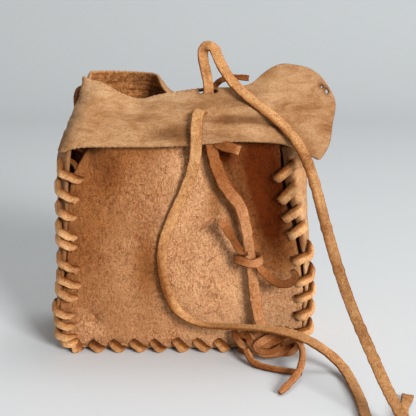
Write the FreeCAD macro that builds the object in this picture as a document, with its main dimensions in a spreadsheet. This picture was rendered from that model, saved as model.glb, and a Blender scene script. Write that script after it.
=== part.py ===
import FreeCAD, Part
import Sketcher
import math
import os

# Drawstring dice bag: a box of laced leather under a soft collar that draws shut.
# X runs along the front, Y from front to back, Z up. The origin is the middle of the resting face.

Vec = FreeCAD.Vector
doc = FreeCAD.newDocument("dice_bag")

sizeRows = [
    ("width", 112.0, "outside of one side wall to the other"),
    ("depth", 46.0, "outside of the front panel to the back panel"),
    ("wall_top", 100.0, "height of the walls' top edges"),
    ("leather", 1.8, "thickness of every leather panel"),
    ("seam_lift", 1.7, "height of the bottom seams over the resting face"),
    ("corner_round", 9.0, "outer radius of the bottom corners"),
    ("seam_gap", 0.2, "play between leather, and between leather and lacing"),
    ("soft_gap", 0.35, "play between the collar and what it wraps"),
    ("lace_wide", 3.5, "width of the seam lacing"),
    ("lace_thick", 1.2, "thickness of the seam lacing"),
    ("lace_inset", 5.5, "lace slots in from the seam's corner"),
    ("lace_slack", 0.25, "lace slot larger than the lace on each side"),
    ("side_pitch", 8.8, "spacing of the stitches up a side seam"),
    ("side_start", 14.0, "height of the lowest side stitch"),
    ("base_pitch", 10.0, "spacing of the stitches along a bottom seam"),
    ("tray_slope", 3.0, "width of the slope round the sagging base"),
    ("side_swell", 1.6, "how far each side wall swells out between its seams"),
    ("collar_lap", 3.0, "how far the collar hangs below the walls' top edges"),
    ("collar_rise", 32.0, "height of the ear over the walls' top edges"),
    ("rim_rise", 21.5, "height of the front rim at the drawstring"),
    ("rim_dip", 16.3, "height of the front rim at its lowest"),
    ("mouth_rise", 24.7, "height of the rear rim"),
    ("mouth_gap", 0.8, "play round the rear leaf, which opens the mouth"),
    ("front_lean", 15.0, "how far the front rim leans in from the front face"),
    ("front_bulge", 5.0, "room behind the front leaf for the thong"),
    ("side_lean", 11.0, "how far the collar leans in from the left side"),
    ("ear_reach", 12.2, "how far the ear stands out past the right side"),
    ("ear_drop", 6.8, "how far the ear's tip hangs below the walls' top edges"),
    ("ear_thick", 3.8, "thickness of the ear, which is two layers"),
    ("ear_lean", 27.0, "angle of the ear back from upright, in degrees"),
    ("ear_eyelet", 1.7, "radius of the drawstring eyelet in the ear"),
    ("string_thick", 3.0, "diameter of the drawstring as a round cord"),
    ("thong_thick", 3.0, "diameter of the tie thong as a round cord"),
    ("tail_thick", 2.4, "diameter of the loose lace ends as round cords"),
    ("hole_play", 0.35, "play round a cord in its hole"),
    ("slider_round", 4.4, "radius of the knot that slides on the thong"),
    ("slider_long", 11.0, "length of the sliding knot along the thong"),
    ("stop_round", 2.9, "radius of the knots that stop a cord inside"),
    ("end_round", 5.0, "radius of the knot that joins the drawstring's ends"),
    ("bundle_long", 14.0, "half length of the bundle of lace ends"),
    ("bundle_deep", 5.5, "half depth of the bundle of lace ends"),
    ("bundle_high", 7.5, "half height of the bundle of lace ends"),
]

sheet = doc.addObject("Spreadsheet::Sheet", "sizes")
for line, (alias, value, note) in enumerate(sizeRows, start=1):
    sheet.set("A%d" % line, alias)
    sheet.set("B%d" % line, str(value))
    sheet.set("C%d" % line, note)
    sheet.setAlias("B%d" % line, alias)
doc.recompute()


def size(alias):
    return float(sheet.get(alias))


halfWidth = size("width") / 2
halfDepth = size("depth") / 2
wallTop = size("wall_top")
collarLow = wallTop - size("collar_lap")
leather = size("leather")
seamLift = size("seam_lift")
stringThick = size("string_thick")
thongThick = size("thong_thick")
tailThick = size("tail_thick")

subParts = {}


def keep(label, obj):
    obj.Label = label
    subParts[label] = obj
    return obj


# Drawing helpers.

def newBody(label):
    return keep(label, doc.addObject("PartDesign::Body", "body_" + label))


def originPlane(body, role):
    return [item for item in body.Origin.OriginFeatures if item.Role == role][0]


def newSketch(body, name, role, offset=None):
    sketch = body.newObject("Sketcher::SketchObject", name)
    sketch.AttachmentSupport = (originPlane(body, role), [""])
    sketch.MapMode = "FlatFace"
    if offset:
        sketch.setExpression("AttachmentOffset.Base.z", offset)
    return sketch


def addRectangle(sketch, left, bottom, wide, high):
    """Four lines whose corner, width and height follow the sheet."""
    first = sketch.GeometryCount
    corners = [Vec(0, 0, 0), Vec(10, 0, 0), Vec(10, 10, 0), Vec(0, 10, 0)]
    for i in range(4):
        sketch.addGeometry(Part.LineSegment(corners[i], corners[(i + 1) % 4]), False)
    for i in range(4):
        sketch.addConstraint(Sketcher.Constraint("Coincident", first + i, 2, first + (i + 1) % 4, 1))
    for i in (0, 2):
        sketch.addConstraint(Sketcher.Constraint("Horizontal", first + i))
    for i in (1, 3):
        sketch.addConstraint(Sketcher.Constraint("Vertical", first + i))
    driven = [
        (Sketcher.Constraint("DistanceX", first, 1, first, 2, 10.0), wide),
        (Sketcher.Constraint("DistanceY", first + 1, 1, first + 1, 2, 10.0), high),
        (Sketcher.Constraint("DistanceX", -1, 1, first, 1, 1.0), left),
        (Sketcher.Constraint("DistanceY", -1, 1, first, 1, 1.0), bottom),
    ]
    for constraint, expression in driven:
        index = sketch.addConstraint(constraint)
        sketch.setExpression("Constraints[%d]" % index, expression)
    return sketch


def addTrapezoid(sketch, half, slope, top, bottom, spread):
    """A level-topped trapezoid, wider at the top by the slope on each side."""
    corners = [Vec(-10, 1, 0), Vec(10, 1, 0), Vec(13, 3, 0), Vec(-13, 3, 0)]
    for i in range(4):
        sketch.addGeometry(Part.LineSegment(corners[i], corners[(i + 1) % 4]), False)
    for i in range(4):
        sketch.addConstraint(Sketcher.Constraint("Coincident", i, 2, (i + 1) % 4, 1))
    places = [
        ("-%s + %s + %s" % (half, slope, spread), bottom),
        ("%s - %s - %s" % (half, slope, spread), bottom),
        ("%s - %s" % (half, spread), top),
        ("-%s + %s" % (half, spread), top),
    ]
    for i, (across, up) in enumerate(places):
        index = sketch.addConstraint(Sketcher.Constraint("DistanceX", -1, 1, i, 1, corners[i].x))
        sketch.setExpression("Constraints[%d]" % index, across)
        index = sketch.addConstraint(Sketcher.Constraint("DistanceY", -1, 1, i, 1, corners[i].y))
        sketch.setExpression("Constraints[%d]" % index, up)


def addFeature(body, kind, name, sketch, length=None, **settings):
    feature = body.newObject("PartDesign::" + kind, name)
    feature.Profile = sketch
    if length:
        feature.setExpression("Length", length)
    for key, value in settings.items():
        setattr(feature, key, value)
    doc.recompute()
    return feature


def addPattern(body, name, original, axis, length, count):
    pattern = body.newObject("PartDesign::LinearPattern", name)
    pattern.Originals = [original]
    pattern.Direction = (originPlane(body, axis), [""])
    pattern.setExpression("Length", length)
    pattern.setExpression("Occurrences", count)
    body.Tip = pattern
    doc.recompute()
    return pattern


def edgesAlongY(shape, height):
    names = []
    for i, edge in enumerate(shape.Edges, start=1):
        box = edge.BoundBox
        if box.YLength > 0.9 and box.XLength < 1e-4 and box.ZLength < 1e-4 and abs(box.ZMin - height) < 1e-4:
            names.append("Edge%d" % i)
    return names


def roundBottom(body, feature, name):
    fillet = body.newObject("PartDesign::Fillet", name)
    fillet.Base = (feature, edgesAlongY(feature.Shape, seamLift))
    fillet.setExpression("Radius", "sizes.corner_round")
    doc.recompute()
    return fillet


slotWide = "(sizes.lace_thick + 2 * sizes.lace_slack)"
slotHigh = "(sizes.lace_wide + 2 * sizes.lace_slack)"
slotFromCorner = "(sizes.lace_inset - %s / 2)" % slotWide

# As many stitches as fit under the collar, and between the rounded bottom corners.
sideRun = "(sizes.wall_top - sizes.collar_lap - sizes.side_start - sizes.lace_wide)"
baseRun = "(sizes.width - 2 * sizes.corner_round - sizes.lace_wide)"
sideCount = "(floor(%s / sizes.side_pitch) + 1)" % sideRun
baseCount = "(floor(%s / sizes.base_pitch) + 1)" % baseRun


# Front and back panels.

def makePanel(label, facing):
    """A flat panel with rounded bottom corners and a row of lace slots down three sides."""
    body = newBody(label)
    outline = newSketch(body, label + "_outline", "XZ_Plane", "%d * sizes.depth / 2" % -facing)
    addRectangle(outline, "-sizes.width / 2", "sizes.seam_lift", "sizes.width",
                 "sizes.wall_top - sizes.seam_lift")
    pad = addFeature(body, "Pad", label + "_pad", outline, "sizes.leather", Reversed=(facing < 0))
    fillet = roundBottom(body, pad, label + "_corners")
    body.Tip = fillet
    sides = newSketch(body, label + "_side_slot", "XZ_Plane")
    for left in ("-sizes.width / 2 + " + slotFromCorner,
                 "sizes.width / 2 - %s - %s" % (slotFromCorner, slotWide)):
        addRectangle(sides, left, "sizes.side_start - %s / 2" % slotHigh, slotWide, slotHigh)
    sidePocket = addFeature(body, "Pocket", label + "_side_pocket", sides, Type="ThroughAll",
                            SideType="Symmetric")
    addPattern(body, label + "_side_slots", sidePocket, "Z_Axis",
               "sizes.side_pitch * (%s - 1)" % sideCount, sideCount)
    bottom = newSketch(body, label + "_base_slot", "XZ_Plane")
    addRectangle(bottom, "-sizes.base_pitch * (%s - 1) / 2 - %s / 2" % (baseCount, slotHigh),
                 "sizes.seam_lift + " + slotFromCorner, slotHigh, slotWide)
    basePocket = addFeature(body, "Pocket", label + "_base_pocket", bottom, Type="ThroughAll",
                            SideType="Symmetric")
    addPattern(body, label + "_base_slots", basePocket, "X_Axis",
               "sizes.base_pitch * (%s - 1)" % baseCount, baseCount)
    return body


makePanel("front_panel", -1)
makePanel("back_panel", 1)


# Gusset strip: sides and base in one.

def makeGusset():
    """A strip bent to a U, its base pressed down between the seams so that it meets the floor."""
    body = doc.addObject("PartDesign::Body", "body_gusset_strip")
    outline = newSketch(body, "gusset_outline", "XZ_Plane")
    addRectangle(outline, "-sizes.width / 2", "sizes.seam_lift", "sizes.width",
                 "sizes.wall_top - sizes.seam_lift")
    stripDepth = "sizes.depth - 2 * (sizes.leather + sizes.seam_gap)"
    block = addFeature(body, "Pad", "gusset_block", outline, stripDepth, SideType="Symmetric")
    rounded = roundBottom(body, block, "gusset_corners")
    body.Tip = rounded
    hollow = body.newObject("PartDesign::Thickness", "gusset_wall")
    openFaces = []
    for i, face in enumerate(rounded.Shape.Faces, start=1):
        normal = face.normalAt(0, 0)
        if abs(normal.y) > 0.99 or normal.z > 0.99:
            openFaces.append("Face%d" % i)
    hollow.Base = (rounded, openFaces)
    hollow.setExpression("Value", "sizes.leather")
    hollow.Reversed = True
    body.Tip = hollow
    doc.recompute()

    trayHalf = "(sizes.depth / 2 - sizes.lace_inset - sizes.lace_thick)"
    trayLength = "sizes.width - 2 * sizes.corner_round - 2 * sizes.leather"
    for name, kind, top, bottom, spread in (
            ("sag", "Pad", "(sizes.seam_lift + sizes.leather / 2)", "0", "0"),
            ("dish", "Pocket", "(sizes.seam_lift + 2 * sizes.leather)", "sizes.leather",
             "sizes.leather / 2")):
        sketch = newSketch(body, "tray_" + name, "YZ_Plane")
        addTrapezoid(sketch, trayHalf, "sizes.tray_slope", top, bottom, spread)
        addFeature(body, kind, "tray_%s_%s" % (name, kind.lower()), sketch, trayLength, SideType="Symmetric")

    walls = newSketch(body, "wall_slot", "YZ_Plane")
    for left in ("-sizes.depth / 2 + " + slotFromCorner,
                 "sizes.depth / 2 - %s - %s" % (slotFromCorner, slotWide)):
        addRectangle(walls, left, "sizes.side_start - %s / 2" % slotHigh, slotWide, slotHigh)
    wallPocket = addFeature(body, "Pocket", "wall_pocket", walls, Type="ThroughAll", SideType="Symmetric")
    addPattern(body, "wall_slots", wallPocket, "Z_Axis",
               "sizes.side_pitch * (%s - 1)" % sideCount, sideCount)
    base = newSketch(body, "floor_slot", "XY_Plane")
    for low in ("-sizes.depth / 2 + " + slotFromCorner,
                "sizes.depth / 2 - %s - %s" % (slotFromCorner, slotWide)):
        addRectangle(base, "-sizes.base_pitch * (%s - 1) / 2 - %s / 2" % (baseCount, slotHigh), low,
                     slotHigh, slotWide)
    basePocket = addFeature(body, "Pocket", "floor_pocket", base, Type="ThroughAll", SideType="Symmetric")
    addPattern(body, "floor_slots", basePocket, "X_Axis",
               "sizes.base_pitch * (%s - 1)" % baseCount, baseCount)
    return body


def swellLoft(face, depth):
    """A pillow over the side wall between its slots: its face follows the swell, its back is flat."""
    half = halfDepth - size("lace_inset") - size("lace_wide") / 2 - 0.4
    low = size("corner_round") + 2 * seamLift
    high = collarLow - 3
    wires = []
    for share, rise in ((0.0, 0.02), (0.22, 0.74), (0.5, 1.0), (0.78, 0.8), (1.0, 0.02)):
        height = low + (high - low) * share
        outline = []
        for k in range(-4, 5):
            across = k / 4
            outline.append(Vec(face + size("side_swell") * rise * (1 - across * across) ** 2, across * half, height))
        curve = Part.BSplineCurve()
        curve.interpolate(outline)
        corners = [outline[-1], Vec(face - depth, half, height), Vec(face - depth, -half, height), outline[0]]
        wires.append(Part.Wire([curve.toShape(), Part.makePolygon(corners)]))
    return Part.makeLoft(wires, True, False)


def swellSides(strip):
    """Each side wall with its swell: leather added outside it and taken away inside."""
    outer = doc.addObject("Part::Feature", "side_swells")
    inner = doc.addObject("Part::Feature", "side_hollows")
    plus = swellLoft(halfWidth, leather / 2)
    minus = swellLoft(halfWidth - leather, leather)
    turned = FreeCAD.Rotation(Vec(0, 0, 1), 180).toMatrix()
    outer.Shape = Part.makeCompound([plus, plus.transformed(turned)])
    inner.Shape = Part.makeCompound([minus, minus.transformed(turned)])
    joined = doc.addObject("Part::MultiFuse", "strip_with_swells")
    joined.Shapes = [strip, outer]
    hollowed = doc.addObject("Part::Cut", "strip_hollowed")
    hollowed.Base = joined
    hollowed.Tool = inner
    doc.recompute()
    return keep("gusset_strip", hollowed)


swellSides(makeGusset())


# Seam lacing.

def saveShape(label, shape):
    """Keep a free-form solid, or a group of them, as an object of the document."""
    feature = doc.addObject("Part::Feature", "form_" + label)
    feature.Shape = shape
    feature.Placement = FreeCAD.Placement()
    return keep(label, feature)


def makeStitch():
    """One turn of lace round the corner at the origin, one panel along +X and the other along +Y."""
    half = size("lace_thick") / 2
    outside = -size("seam_gap") - half
    inside = leather + size("seam_gap") + half
    inset = size("lace_inset")
    corners = [
        Vec(inset, outside, 0),
        Vec(outside, outside, 0),
        Vec(outside, inset, 0),
        Vec(inside, inset, 0),
        Vec(inset, inside, 0),
    ]
    middle = Part.makePolygon(corners + [corners[0]])
    outer = middle.makeOffset2D(half, 0)
    inner = middle.makeOffset2D(-half, 2)
    band = Part.Face(outer).cut(Part.Face(inner))
    wide = size("lace_wide")
    turn = band.extrude(Vec(0, 0, wide))
    turn.translate(Vec(0, 0, -wide / 2))
    return turn


def turnAlong(stitch, first, second, corner):
    """The turn of lace with its two panels along two given directions from a corner."""
    third = first.cross(second)
    turn = stitch.copy()
    turned = FreeCAD.Placement(corner, FreeCAD.Rotation(first, second, third, "ZXY"))
    turn.Placement = turned.multiply(turn.Placement)
    return turn


def makeLacing():
    stitch = makeStitch()
    up = Vec(0, 0, 1)
    sideTurns = int((collarLow - size("side_start") - size("lace_wide")) / size("side_pitch")) + 1
    baseTurns = int((2 * (halfWidth - size("corner_round")) - size("lace_wide")) / size("base_pitch")) + 1
    for yName, inward in (("front", Vec(0, 1, 0)), ("back", Vec(0, -1, 0))):
        seamDepth = -inward.y * halfDepth
        for xName, across in (("left", Vec(1, 0, 0)), ("right", Vec(-1, 0, 0))):
            turns = []
            for k in range(sideTurns):
                corner = Vec(-across.x * halfWidth, seamDepth, size("side_start") + k * size("side_pitch"))
                turns.append(turnAlong(stitch, across, inward, corner))
            saveShape("lace_%s_%s" % (yName, xName), Part.makeCompound(turns))
        turns = []
        for k in range(baseTurns):
            corner = Vec((k - (baseTurns - 1) / 2) * size("base_pitch"), seamDepth, seamLift)
            turns.append(turnAlong(stitch, up, inward, corner))
        saveShape("lace_%s_base" % yName, Part.makeCompound(turns))


makeLacing()


# Cords.

def cordTube(route, thick, name=None):
    """A round tube along straight runs joined by arcs, each as large as its two runs allow."""
    points = [Vec(*point) for point in route]
    edges = []
    start = points[0]
    radii = []
    for i in range(1, len(points) - 1):
        before = points[i - 1] - points[i]
        after = points[i + 1] - points[i]
        tangent = 0.45 * min(before.Length, after.Length)
        before.normalize()
        after.normalize()
        halfTurn = (math.pi - before.getAngle(after)) / 2
        radius = tangent / math.tan(halfTurn)
        radii.append(radius)
        arcStart = points[i] + before * tangent
        arcEnd = points[i] + after * tangent
        inward = (before + after).normalize()
        arcMiddle = points[i] + inward * (radius / math.cos(halfTurn) - radius)
        edges.append(Part.LineSegment(start, arcStart).toShape())
        edges.append(Part.Arc(arcStart, arcMiddle, arcEnd).toShape())
        start = arcEnd
    edges.append(Part.LineSegment(start, points[-1]).toShape())
    path = Part.Wire(edges)
    direction = points[1] - points[0]
    section = Part.Wire([Part.makeCircle(thick / 2, points[0], direction)])
    tube = path.makePipeShell([section], True, False)
    expected = math.pi * thick * thick / 4 * path.Length
    if name:
        print("%s: length %.1f, smallest radius %.1f, volume over section x length %.4f"
              % (name, path.Length, min(radii) if radii else 0, tube.Volume / expected))
    return tube


# Each route is a list of points in millimetres, chosen along the cord from one end to the other.
stringLongRoute = [
    (11.7, -9.3, 115.0), (12.2, -12.2, 121.0), (11.0, -11.7, 128.5), (9.2, -10.8, 136.0), (9.6, -10.6, 142.0),
    (14.6, -12.2, 142.2), (17.0, -13.8, 133.6), (22.6, -17.6, 125.4), (32.0, -23.6, 117.8),
    (42.6, -29.2, 110.8), (50.4, -32.6, 102.6), (55.2, -35.6, 93.6), (58.6, -41.4, 82.0),
    (62.2, -49.0, 67.6), (67.0, -58.8, 51.4), (72.0, -68.4, 37.6), (78.2, -80.8, 24.4),
    (83.8, -94.0, 12.4), (88.4, -106.4, 6.4),
]
stringShortRoute = [
    (12.8, -8.4, 110.8), (12.2, -11.2, 107.4), (10.9, -16.0, 108.6), (9.6, -21.0, 113.4), (7.2, -28.0, 114.0),
    (6.6, -32.6, 106.5), (6.4, -32.4, 94.0), (2.2, -31.5, 80.5), (-4.2, -31.5, 67.5),
    (-9.6, -32.0, 53.0), (-9.0, -32.5, 38.0), (-3.5, -33.5, 25.5), (8.0, -35.0, 19.0),
    (23.0, -38.0, 19.2), (37.0, -42.0, 20.4), (50.0, -43.4, 19.2), (60.0, -43.6, 15.6),
    (68.6, -44.6, 8.0), (72.8, -52.4, 2.8), (74.6, -66.0, 1.7), (75.6, -80.0, 1.6), (74.9, -92.6, 1.7),
    (78.6, -103.0, 2.2), (84.6, -108.6, 3.8),
]
thongRoute = [
    (12.4, -17.4, 94.0), (12.3, -18.0, 102.4), (12.8, -25.2, 102.9), (13.2, -25.4, 96.4), (16.0, -28.2, 87.6),
    (20.4, -29.8, 79.0), (28.3, -30.0, 70.4), (33.4, -30.0, 26.4), (35.6, -31.5, 17.6), (38.0, -34.5, 9.5),
]
curlTailRoute = [
    (45.5, -38.0, 10.0), (50.5, -41.5, 14.6), (53.8, -45.5, 11.4), (53.2, -52.0, 6.4),
    (49.0, -60.5, 3.2), (42.2, -69.5, 1.4),
]
flatTailRoute = [
    (29.0, -35.0, 5.6), (30.6, -39.8, 2.6), (35.0, -43.6, 1.5), (40.8, -46.4, 1.4), (46.6, -48.6, 1.4),
    (51.6, -49.8, 1.4),
]
backStubRoute = [(14.0, -7.4, 114.6), (14.2, -6.6, 121.0), (18.4, -6.0, 125.0), (28.2, -6.4, 126.0)]
thongStubRoute = [(15.2, -25.6, 99.1), (20.4, -25.8, 98.4), (25.2, -27.0, 97.2)]
sideLoopRoute = [(-47.6, 4.0, 119.4), (-51.4, 3.6, 117.2), (-52.6, 3.2, 112.6), (-50.2, 3.0, 108.6)]
knotTailRoute = [(90.2, -107.0, 4.8), (90.2, -96.0, 3.0), (92.0, -84.0, 1.8), (95.6, -73.0, 1.6)]


def saveCord(label, route, thick):
    saveShape(label, cordTube(route, thick, label))


saveCord("drawstring_long", stringLongRoute, stringThick)
saveCord("drawstring_short", stringShortRoute, stringThick)
saveCord("drawstring_stub", backStubRoute, tailThick)
saveCord("drawstring_side_loop", sideLoopRoute, tailThick)
saveCord("drawstring_tail", knotTailRoute, tailThick)
saveCord("tie_thong", thongRoute, thongThick)
saveCord("thong_stub", thongStubRoute, tailThick)
saveCord("lace_tail_curled", curlTailRoute, tailThick)
saveCord("lace_tail_flat", flatTailRoute, tailThick)


# Collar.

def smoothEdge(points):
    curve = Part.BSplineCurve()
    curve.interpolate([Vec(*point) for point in points])
    return curve.toShape()


def bandWire(points, height, thicks):
    """A strip of leather seen from above: an outer curve and the same curve moved to its left."""
    inner = []
    for i, (x, y) in enumerate(points):
        x0, y0 = points[max(i - 1, 0)]
        x1, y1 = points[min(i + 1, len(points) - 1)]
        run = math.hypot(x1 - x0, y1 - y0)
        inner.append((x - (y1 - y0) / run * thicks[i], y + (x1 - x0) / run * thicks[i]))
    outerPoints = [(x, y, height) for x, y in points]
    innerPoints = [(x, y, height) for x, y in reversed(inner)]
    return Part.Wire([
        smoothEdge(outerPoints),
        Part.LineSegment(Vec(*outerPoints[-1]), Vec(*innerPoints[0])).toShape(),
        smoothEdge(innerPoints),
        Part.LineSegment(Vec(*innerPoints[-1]), Vec(*outerPoints[0])).toShape(),
    ])


def bandLoft(levels, thick, mostStretch=1.0):
    """A leaf of leather lofted through curves at rising heights, cut wider across where it leans over."""
    wires = []
    for k, (height, points) in enumerate(levels):
        under, pointsUnder = levels[max(k - 1, 0)]
        over, pointsOver = levels[min(k + 1, len(levels) - 1)]
        thicks = []
        for low, high in zip(pointsUnder, pointsOver):
            lean = math.dist(low, high) / (over - under)
            thicks.append(thick * min(math.hypot(1, lean), mostStretch))
        wires.append(bandWire(points, height, thicks))
    return Part.makeLoft(wires, True, False)


def rimPrism(rim, low):
    """Everything under a rim line that is drawn from the front."""
    edges = [smoothEdge([(x, 0, z) for x, z in rim])]
    corners = [Vec(rim[-1][0], 0, rim[-1][1]), Vec(rim[-1][0], 0, low), Vec(rim[0][0], 0, low),
               Vec(rim[0][0], 0, rim[0][1])]
    for i in range(3):
        edges.append(Part.LineSegment(corners[i], corners[i + 1]).toShape())
    face = Part.Face(Part.Wire(edges))
    face.translate(Vec(0, -2 * halfDepth, 0))
    return face.extrude(Vec(0, 4 * halfDepth, 0))


wrap = size("soft_gap") + leather
leftSide = -halfWidth - wrap
rightSide = halfWidth + wrap
frontFace = -halfDepth - wrap
backFace = halfDepth
lean = size("front_lean")
sideLean = size("side_lean")
bulge = size("front_bulge")
frontRim = wallTop + size("rim_rise")
rearRim = wallTop + size("mouth_rise")
earTop = wallTop + size("collar_rise")


def makeFrontLeaf():
    """The collar's front: wraps the left side, covers the panel's top edge and leans in to the rim."""
    rise = frontRim - wallTop
    skirt = [
        (leftSide, 9), (leftSide - 0.2, -10), (leftSide, -22), (leftSide + 2.4, frontFace - 0.8),
        (leftSide + 14, frontFace - 0.4), (-18, frontFace - 0.6), (2, frontFace - bulge * 0.6),
        (20, frontFace - bulge), (36, frontFace - bulge * 0.8), (48, frontFace - 1.6), (55, frontFace - 1.2)]
    levels = [
        (collarLow, skirt),
        (wallTop + size("soft_gap"), skirt),
        (wallTop + 0.34 * rise, [
            (leftSide + 0.5 * sideLean, 9.5), (leftSide + 0.46 * sideLean, -4), (leftSide + 6.4, -14),
            (leftSide + 10, frontFace + 4.6), (leftSide + 16, frontFace + 3.4), (-18, frontFace + 1.4),
            (2, frontFace - 2.6), (20, frontFace - 3.8), (36, frontFace - 3.6), (48, frontFace - 2.4),
            (57, frontFace + 0.6)]),
        (wallTop + 0.58 * rise, [
            (leftSide + 0.74 * sideLean, 9.5), (leftSide + 0.7 * sideLean, -2), (leftSide + 9.4, -9),
            (leftSide + 14, frontFace + 10.4), (leftSide + 20, frontFace + 9), (-18, frontFace + 0.6 * lean),
            (2, frontFace + 4), (20, frontFace + 1.6), (36, frontFace + 1.2), (48, frontFace + 2.4),
            (57, frontFace + 5.6)]),
        (frontRim, [
            (leftSide + sideLean, 8.5), (leftSide + sideLean, 1), (leftSide + sideLean + 2, -4),
            (leftSide + sideLean + 6, -7), (-34, -8), (-18, frontFace + 1.28 * lean),
            (2, frontFace + 1.14 * lean), (20, frontFace + lean), (36, frontFace + 0.86 * lean),
            (48, frontFace + 0.8 * lean), (57, frontFace + 0.74 * lean)]),
        (earTop + 4, [
            (leftSide + 1.2 * sideLean, 8), (leftSide + 1.22 * sideLean, 3), (leftSide + 1.4 * sideLean, 0),
            (leftSide + 1.8 * sideLean, -1), (-32, -1), (-18, 3), (2, 3), (20, -1), (36, -3), (48, -5),
            (57, -6)]),
    ]
    leaf = bandLoft(levels, leather)
    dip = wallTop + size("rim_dip")
    rim = [
        (leftSide - 4, rearRim + 0.6), (leftSide + 12, rearRim + 0.6), (-41.5, rearRim - 0.2),
        (-35, rearRim - 1.6), (-28.5, frontRim - 2), (-22, dip + 0.4), (-17, dip), (-9, frontRim - 3.2),
        (0, frontRim - 1.4), (10.3, frontRim - 0.2), (20, frontRim + 0.9), (27, frontRim + 1.6),
        (35, frontRim + 6.6), (42, earTop - 0.4), (50, earTop - 0.4), (66, earTop - 1)]
    return leaf.common(rimPrism(rim, collarLow - 1))


def makeEar():
    """The collar's right corner: two layers pressed flat, out past the side and down over it."""
    reach = halfWidth + size("ear_reach")
    tip = wallTop - size("ear_drop")
    outline = [
        (44, earTop), (53.3, earTop - 0.8), (59.1, earTop - 3.3), (62.1, earTop - 6.2), (66, earTop - 13.3),
        (reach, earTop - 15.8), (reach - 1.9, earTop - 26), (reach - 3.1, tip + 5.6), (reach - 5, tip + 2.7),
        (reach - 7.6, tip), (reach - 10, tip + 1.4), (reach - 13, tip + 4.6), (48, tip + 16), (42, tip + 24)]
    slope = math.radians(size("ear_lean"))
    upright = [Vec(x, 0, (z - tip) / math.cos(slope)) for x, z in outline]
    face = Part.Face(Part.makePolygon(upright + [upright[0]]))
    ear = face.extrude(Vec(0, size("ear_thick"), 0))
    ear.rotate(Vec(0, 0, 0), Vec(1, 0, 0), -math.degrees(slope))
    ear.translate(Vec(0, frontFace - 4.6, tip))
    eyelet = Part.makeCylinder(size("ear_eyelet"), 60, Vec(reach - 5.2, -40, earTop - 10), Vec(0, 1, 0))
    return ear.cut(eyelet)


def makeCollarFront():
    """Front leaf, ear and the strip that turns the right corner, with holes where the drawstring passes."""
    leaf = makeFrontLeaf().fuse(makeEar())
    rightWrap = bandLoft([
        (collarLow, [(50, frontFace - 0.4), (rightSide - 3, frontFace - 0.4), (rightSide - 0.2, -21),
                     (rightSide + 0.2, -10), (rightSide, 6)]),
        (wallTop + 5, [(50, frontFace - 0.4), (rightSide - 3, frontFace - 0.4), (rightSide - 0.2, -21),
                       (rightSide, -10), (rightSide - 0.6, 6)]),
    ], leather)
    leaf = leaf.fuse(rightWrap)
    play = size("soft_gap")
    box = Part.makeBox(2 * (halfWidth + play), 2 * (halfDepth + play), wallTop + play,
                       Vec(-halfWidth - play, -halfDepth - play, 0))
    leaf = leaf.cut(box)
    hole = stringThick + 2 * size("hole_play")
    for route in (stringLongRoute[:3], stringShortRoute[2:5]):
        leaf = leaf.cut(cordTube(route, hole))
    sideHole = tailThick + 2 * size("hole_play")
    leaf = leaf.cut(cordTube(sideLoopRoute, sideHole))
    return leaf.removeSplitter()


def makeCollarBack():
    """The collar's rear leaf: stands round the mouth on the left and folds in over it on the right."""
    low = wallTop + size("soft_gap")
    rise = size("mouth_rise")
    end = 10 + size("mouth_gap")
    back = backFace
    left = leftSide + wrap
    levels = [
        (low, [
            (50, 17), (47, 21), (38, back), (24, back), (10, back), (-2, back), (-14, back), (-28, back),
            (-42, back), (left + 4.4, 20), (left + 2.6, end)]),
        (low + 0.27 * rise, [
            (54.2, 3), (49, 7.8), (38, 11.2), (24, 15), (10, 18.8), (-1, 22.6), (-14, back + 1.6),
            (-28, back + 1.7), (-42, back + 1), (left + 6, 19.6), (left + 4, end)]),
        (low + 0.52 * rise, [
            (53, -5), (46, -3.8), (36, -3.6), (24, -3.4), (14, -1.2), (6, 5), (-3, 16.4), (-16, back + 1.1),
            (-34, back + 1.5), (left + 9.4, 20.8), (left + 6, end)]),
        (low + 0.75 * rise, [
            (52, -6.8), (44, -6), (34, -5.4), (22, -4.4), (10, -1.8), (0, 1.4), (-7.4, 11), (-15, 20.6),
            (-31, back + 0.5), (left + 12, 20.6), (left + 8, end)]),
        (low + 1.25 * rise, [
            (48, -8), (42, -7.6), (33, -7), (22, -5.6), (10, -2.6), (-3, 1), (-12, 8.4), (-20, 17),
            (-32, 20.8), (left + 16.4, 18.4), (left + 12, end)]),
    ]
    leaf = bandLoft(levels, leather, 1.6)
    rim = [
        (-60, rearRim), (-40, rearRim), (-26, rearRim), (-14, rearRim - 0.4), (-9.5, rearRim - 2.2),
        (-5, rearRim - 6.8), (3, rearRim - 9.4), (16, rearRim - 8.6), (30, rearRim - 6), (42, rearRim - 4),
        (60, rearRim - 3.6)]
    return leaf.common(rimPrism(rim, low - 1)).removeSplitter()


saveShape("collar_front", makeCollarFront())
saveShape("collar_back", makeCollarBack())


# Knots.

def makeKnot(label, centre, radii):
    """A knot's outer shape: an egg with its own radii along X, Y and Z."""
    knot = doc.addObject("Part::Ellipsoid", "knot_" + label)
    knot.setExpression("Radius2", radii[0])
    knot.setExpression("Radius3", radii[1])
    knot.setExpression("Radius1", radii[2])
    knot.Angle1 = -90
    knot.Angle2 = 90
    knot.Angle3 = 360
    knot.Placement = FreeCAD.Placement(Vec(*centre), FreeCAD.Rotation())
    return keep(label, knot)


# Each knot sits where the cords it holds come together.
endKnotPlace = (89.0, -110.6, size("end_round"))
bundlePlace = (39.0, -34.5, size("bundle_high") + 0.4)
thongStopPlace = (12.4, -17.0, 92.0)
stringStopPlace = (12.5, -8.0, 113.0)

makeKnot("drawstring_end_knot", endKnotPlace,
         ("sizes.end_round * 1.2", "sizes.end_round * 1.2", "sizes.end_round"))
makeKnot("lace_bundle", bundlePlace, ("sizes.bundle_long", "sizes.bundle_deep", "sizes.bundle_high"))
makeKnot("thong_stop_knot", thongStopPlace, ("sizes.stop_round",) * 3)
makeKnot("drawstring_stop_knot", stringStopPlace, ("sizes.stop_round",) * 3)


# Knot that slides on the thong.

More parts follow.
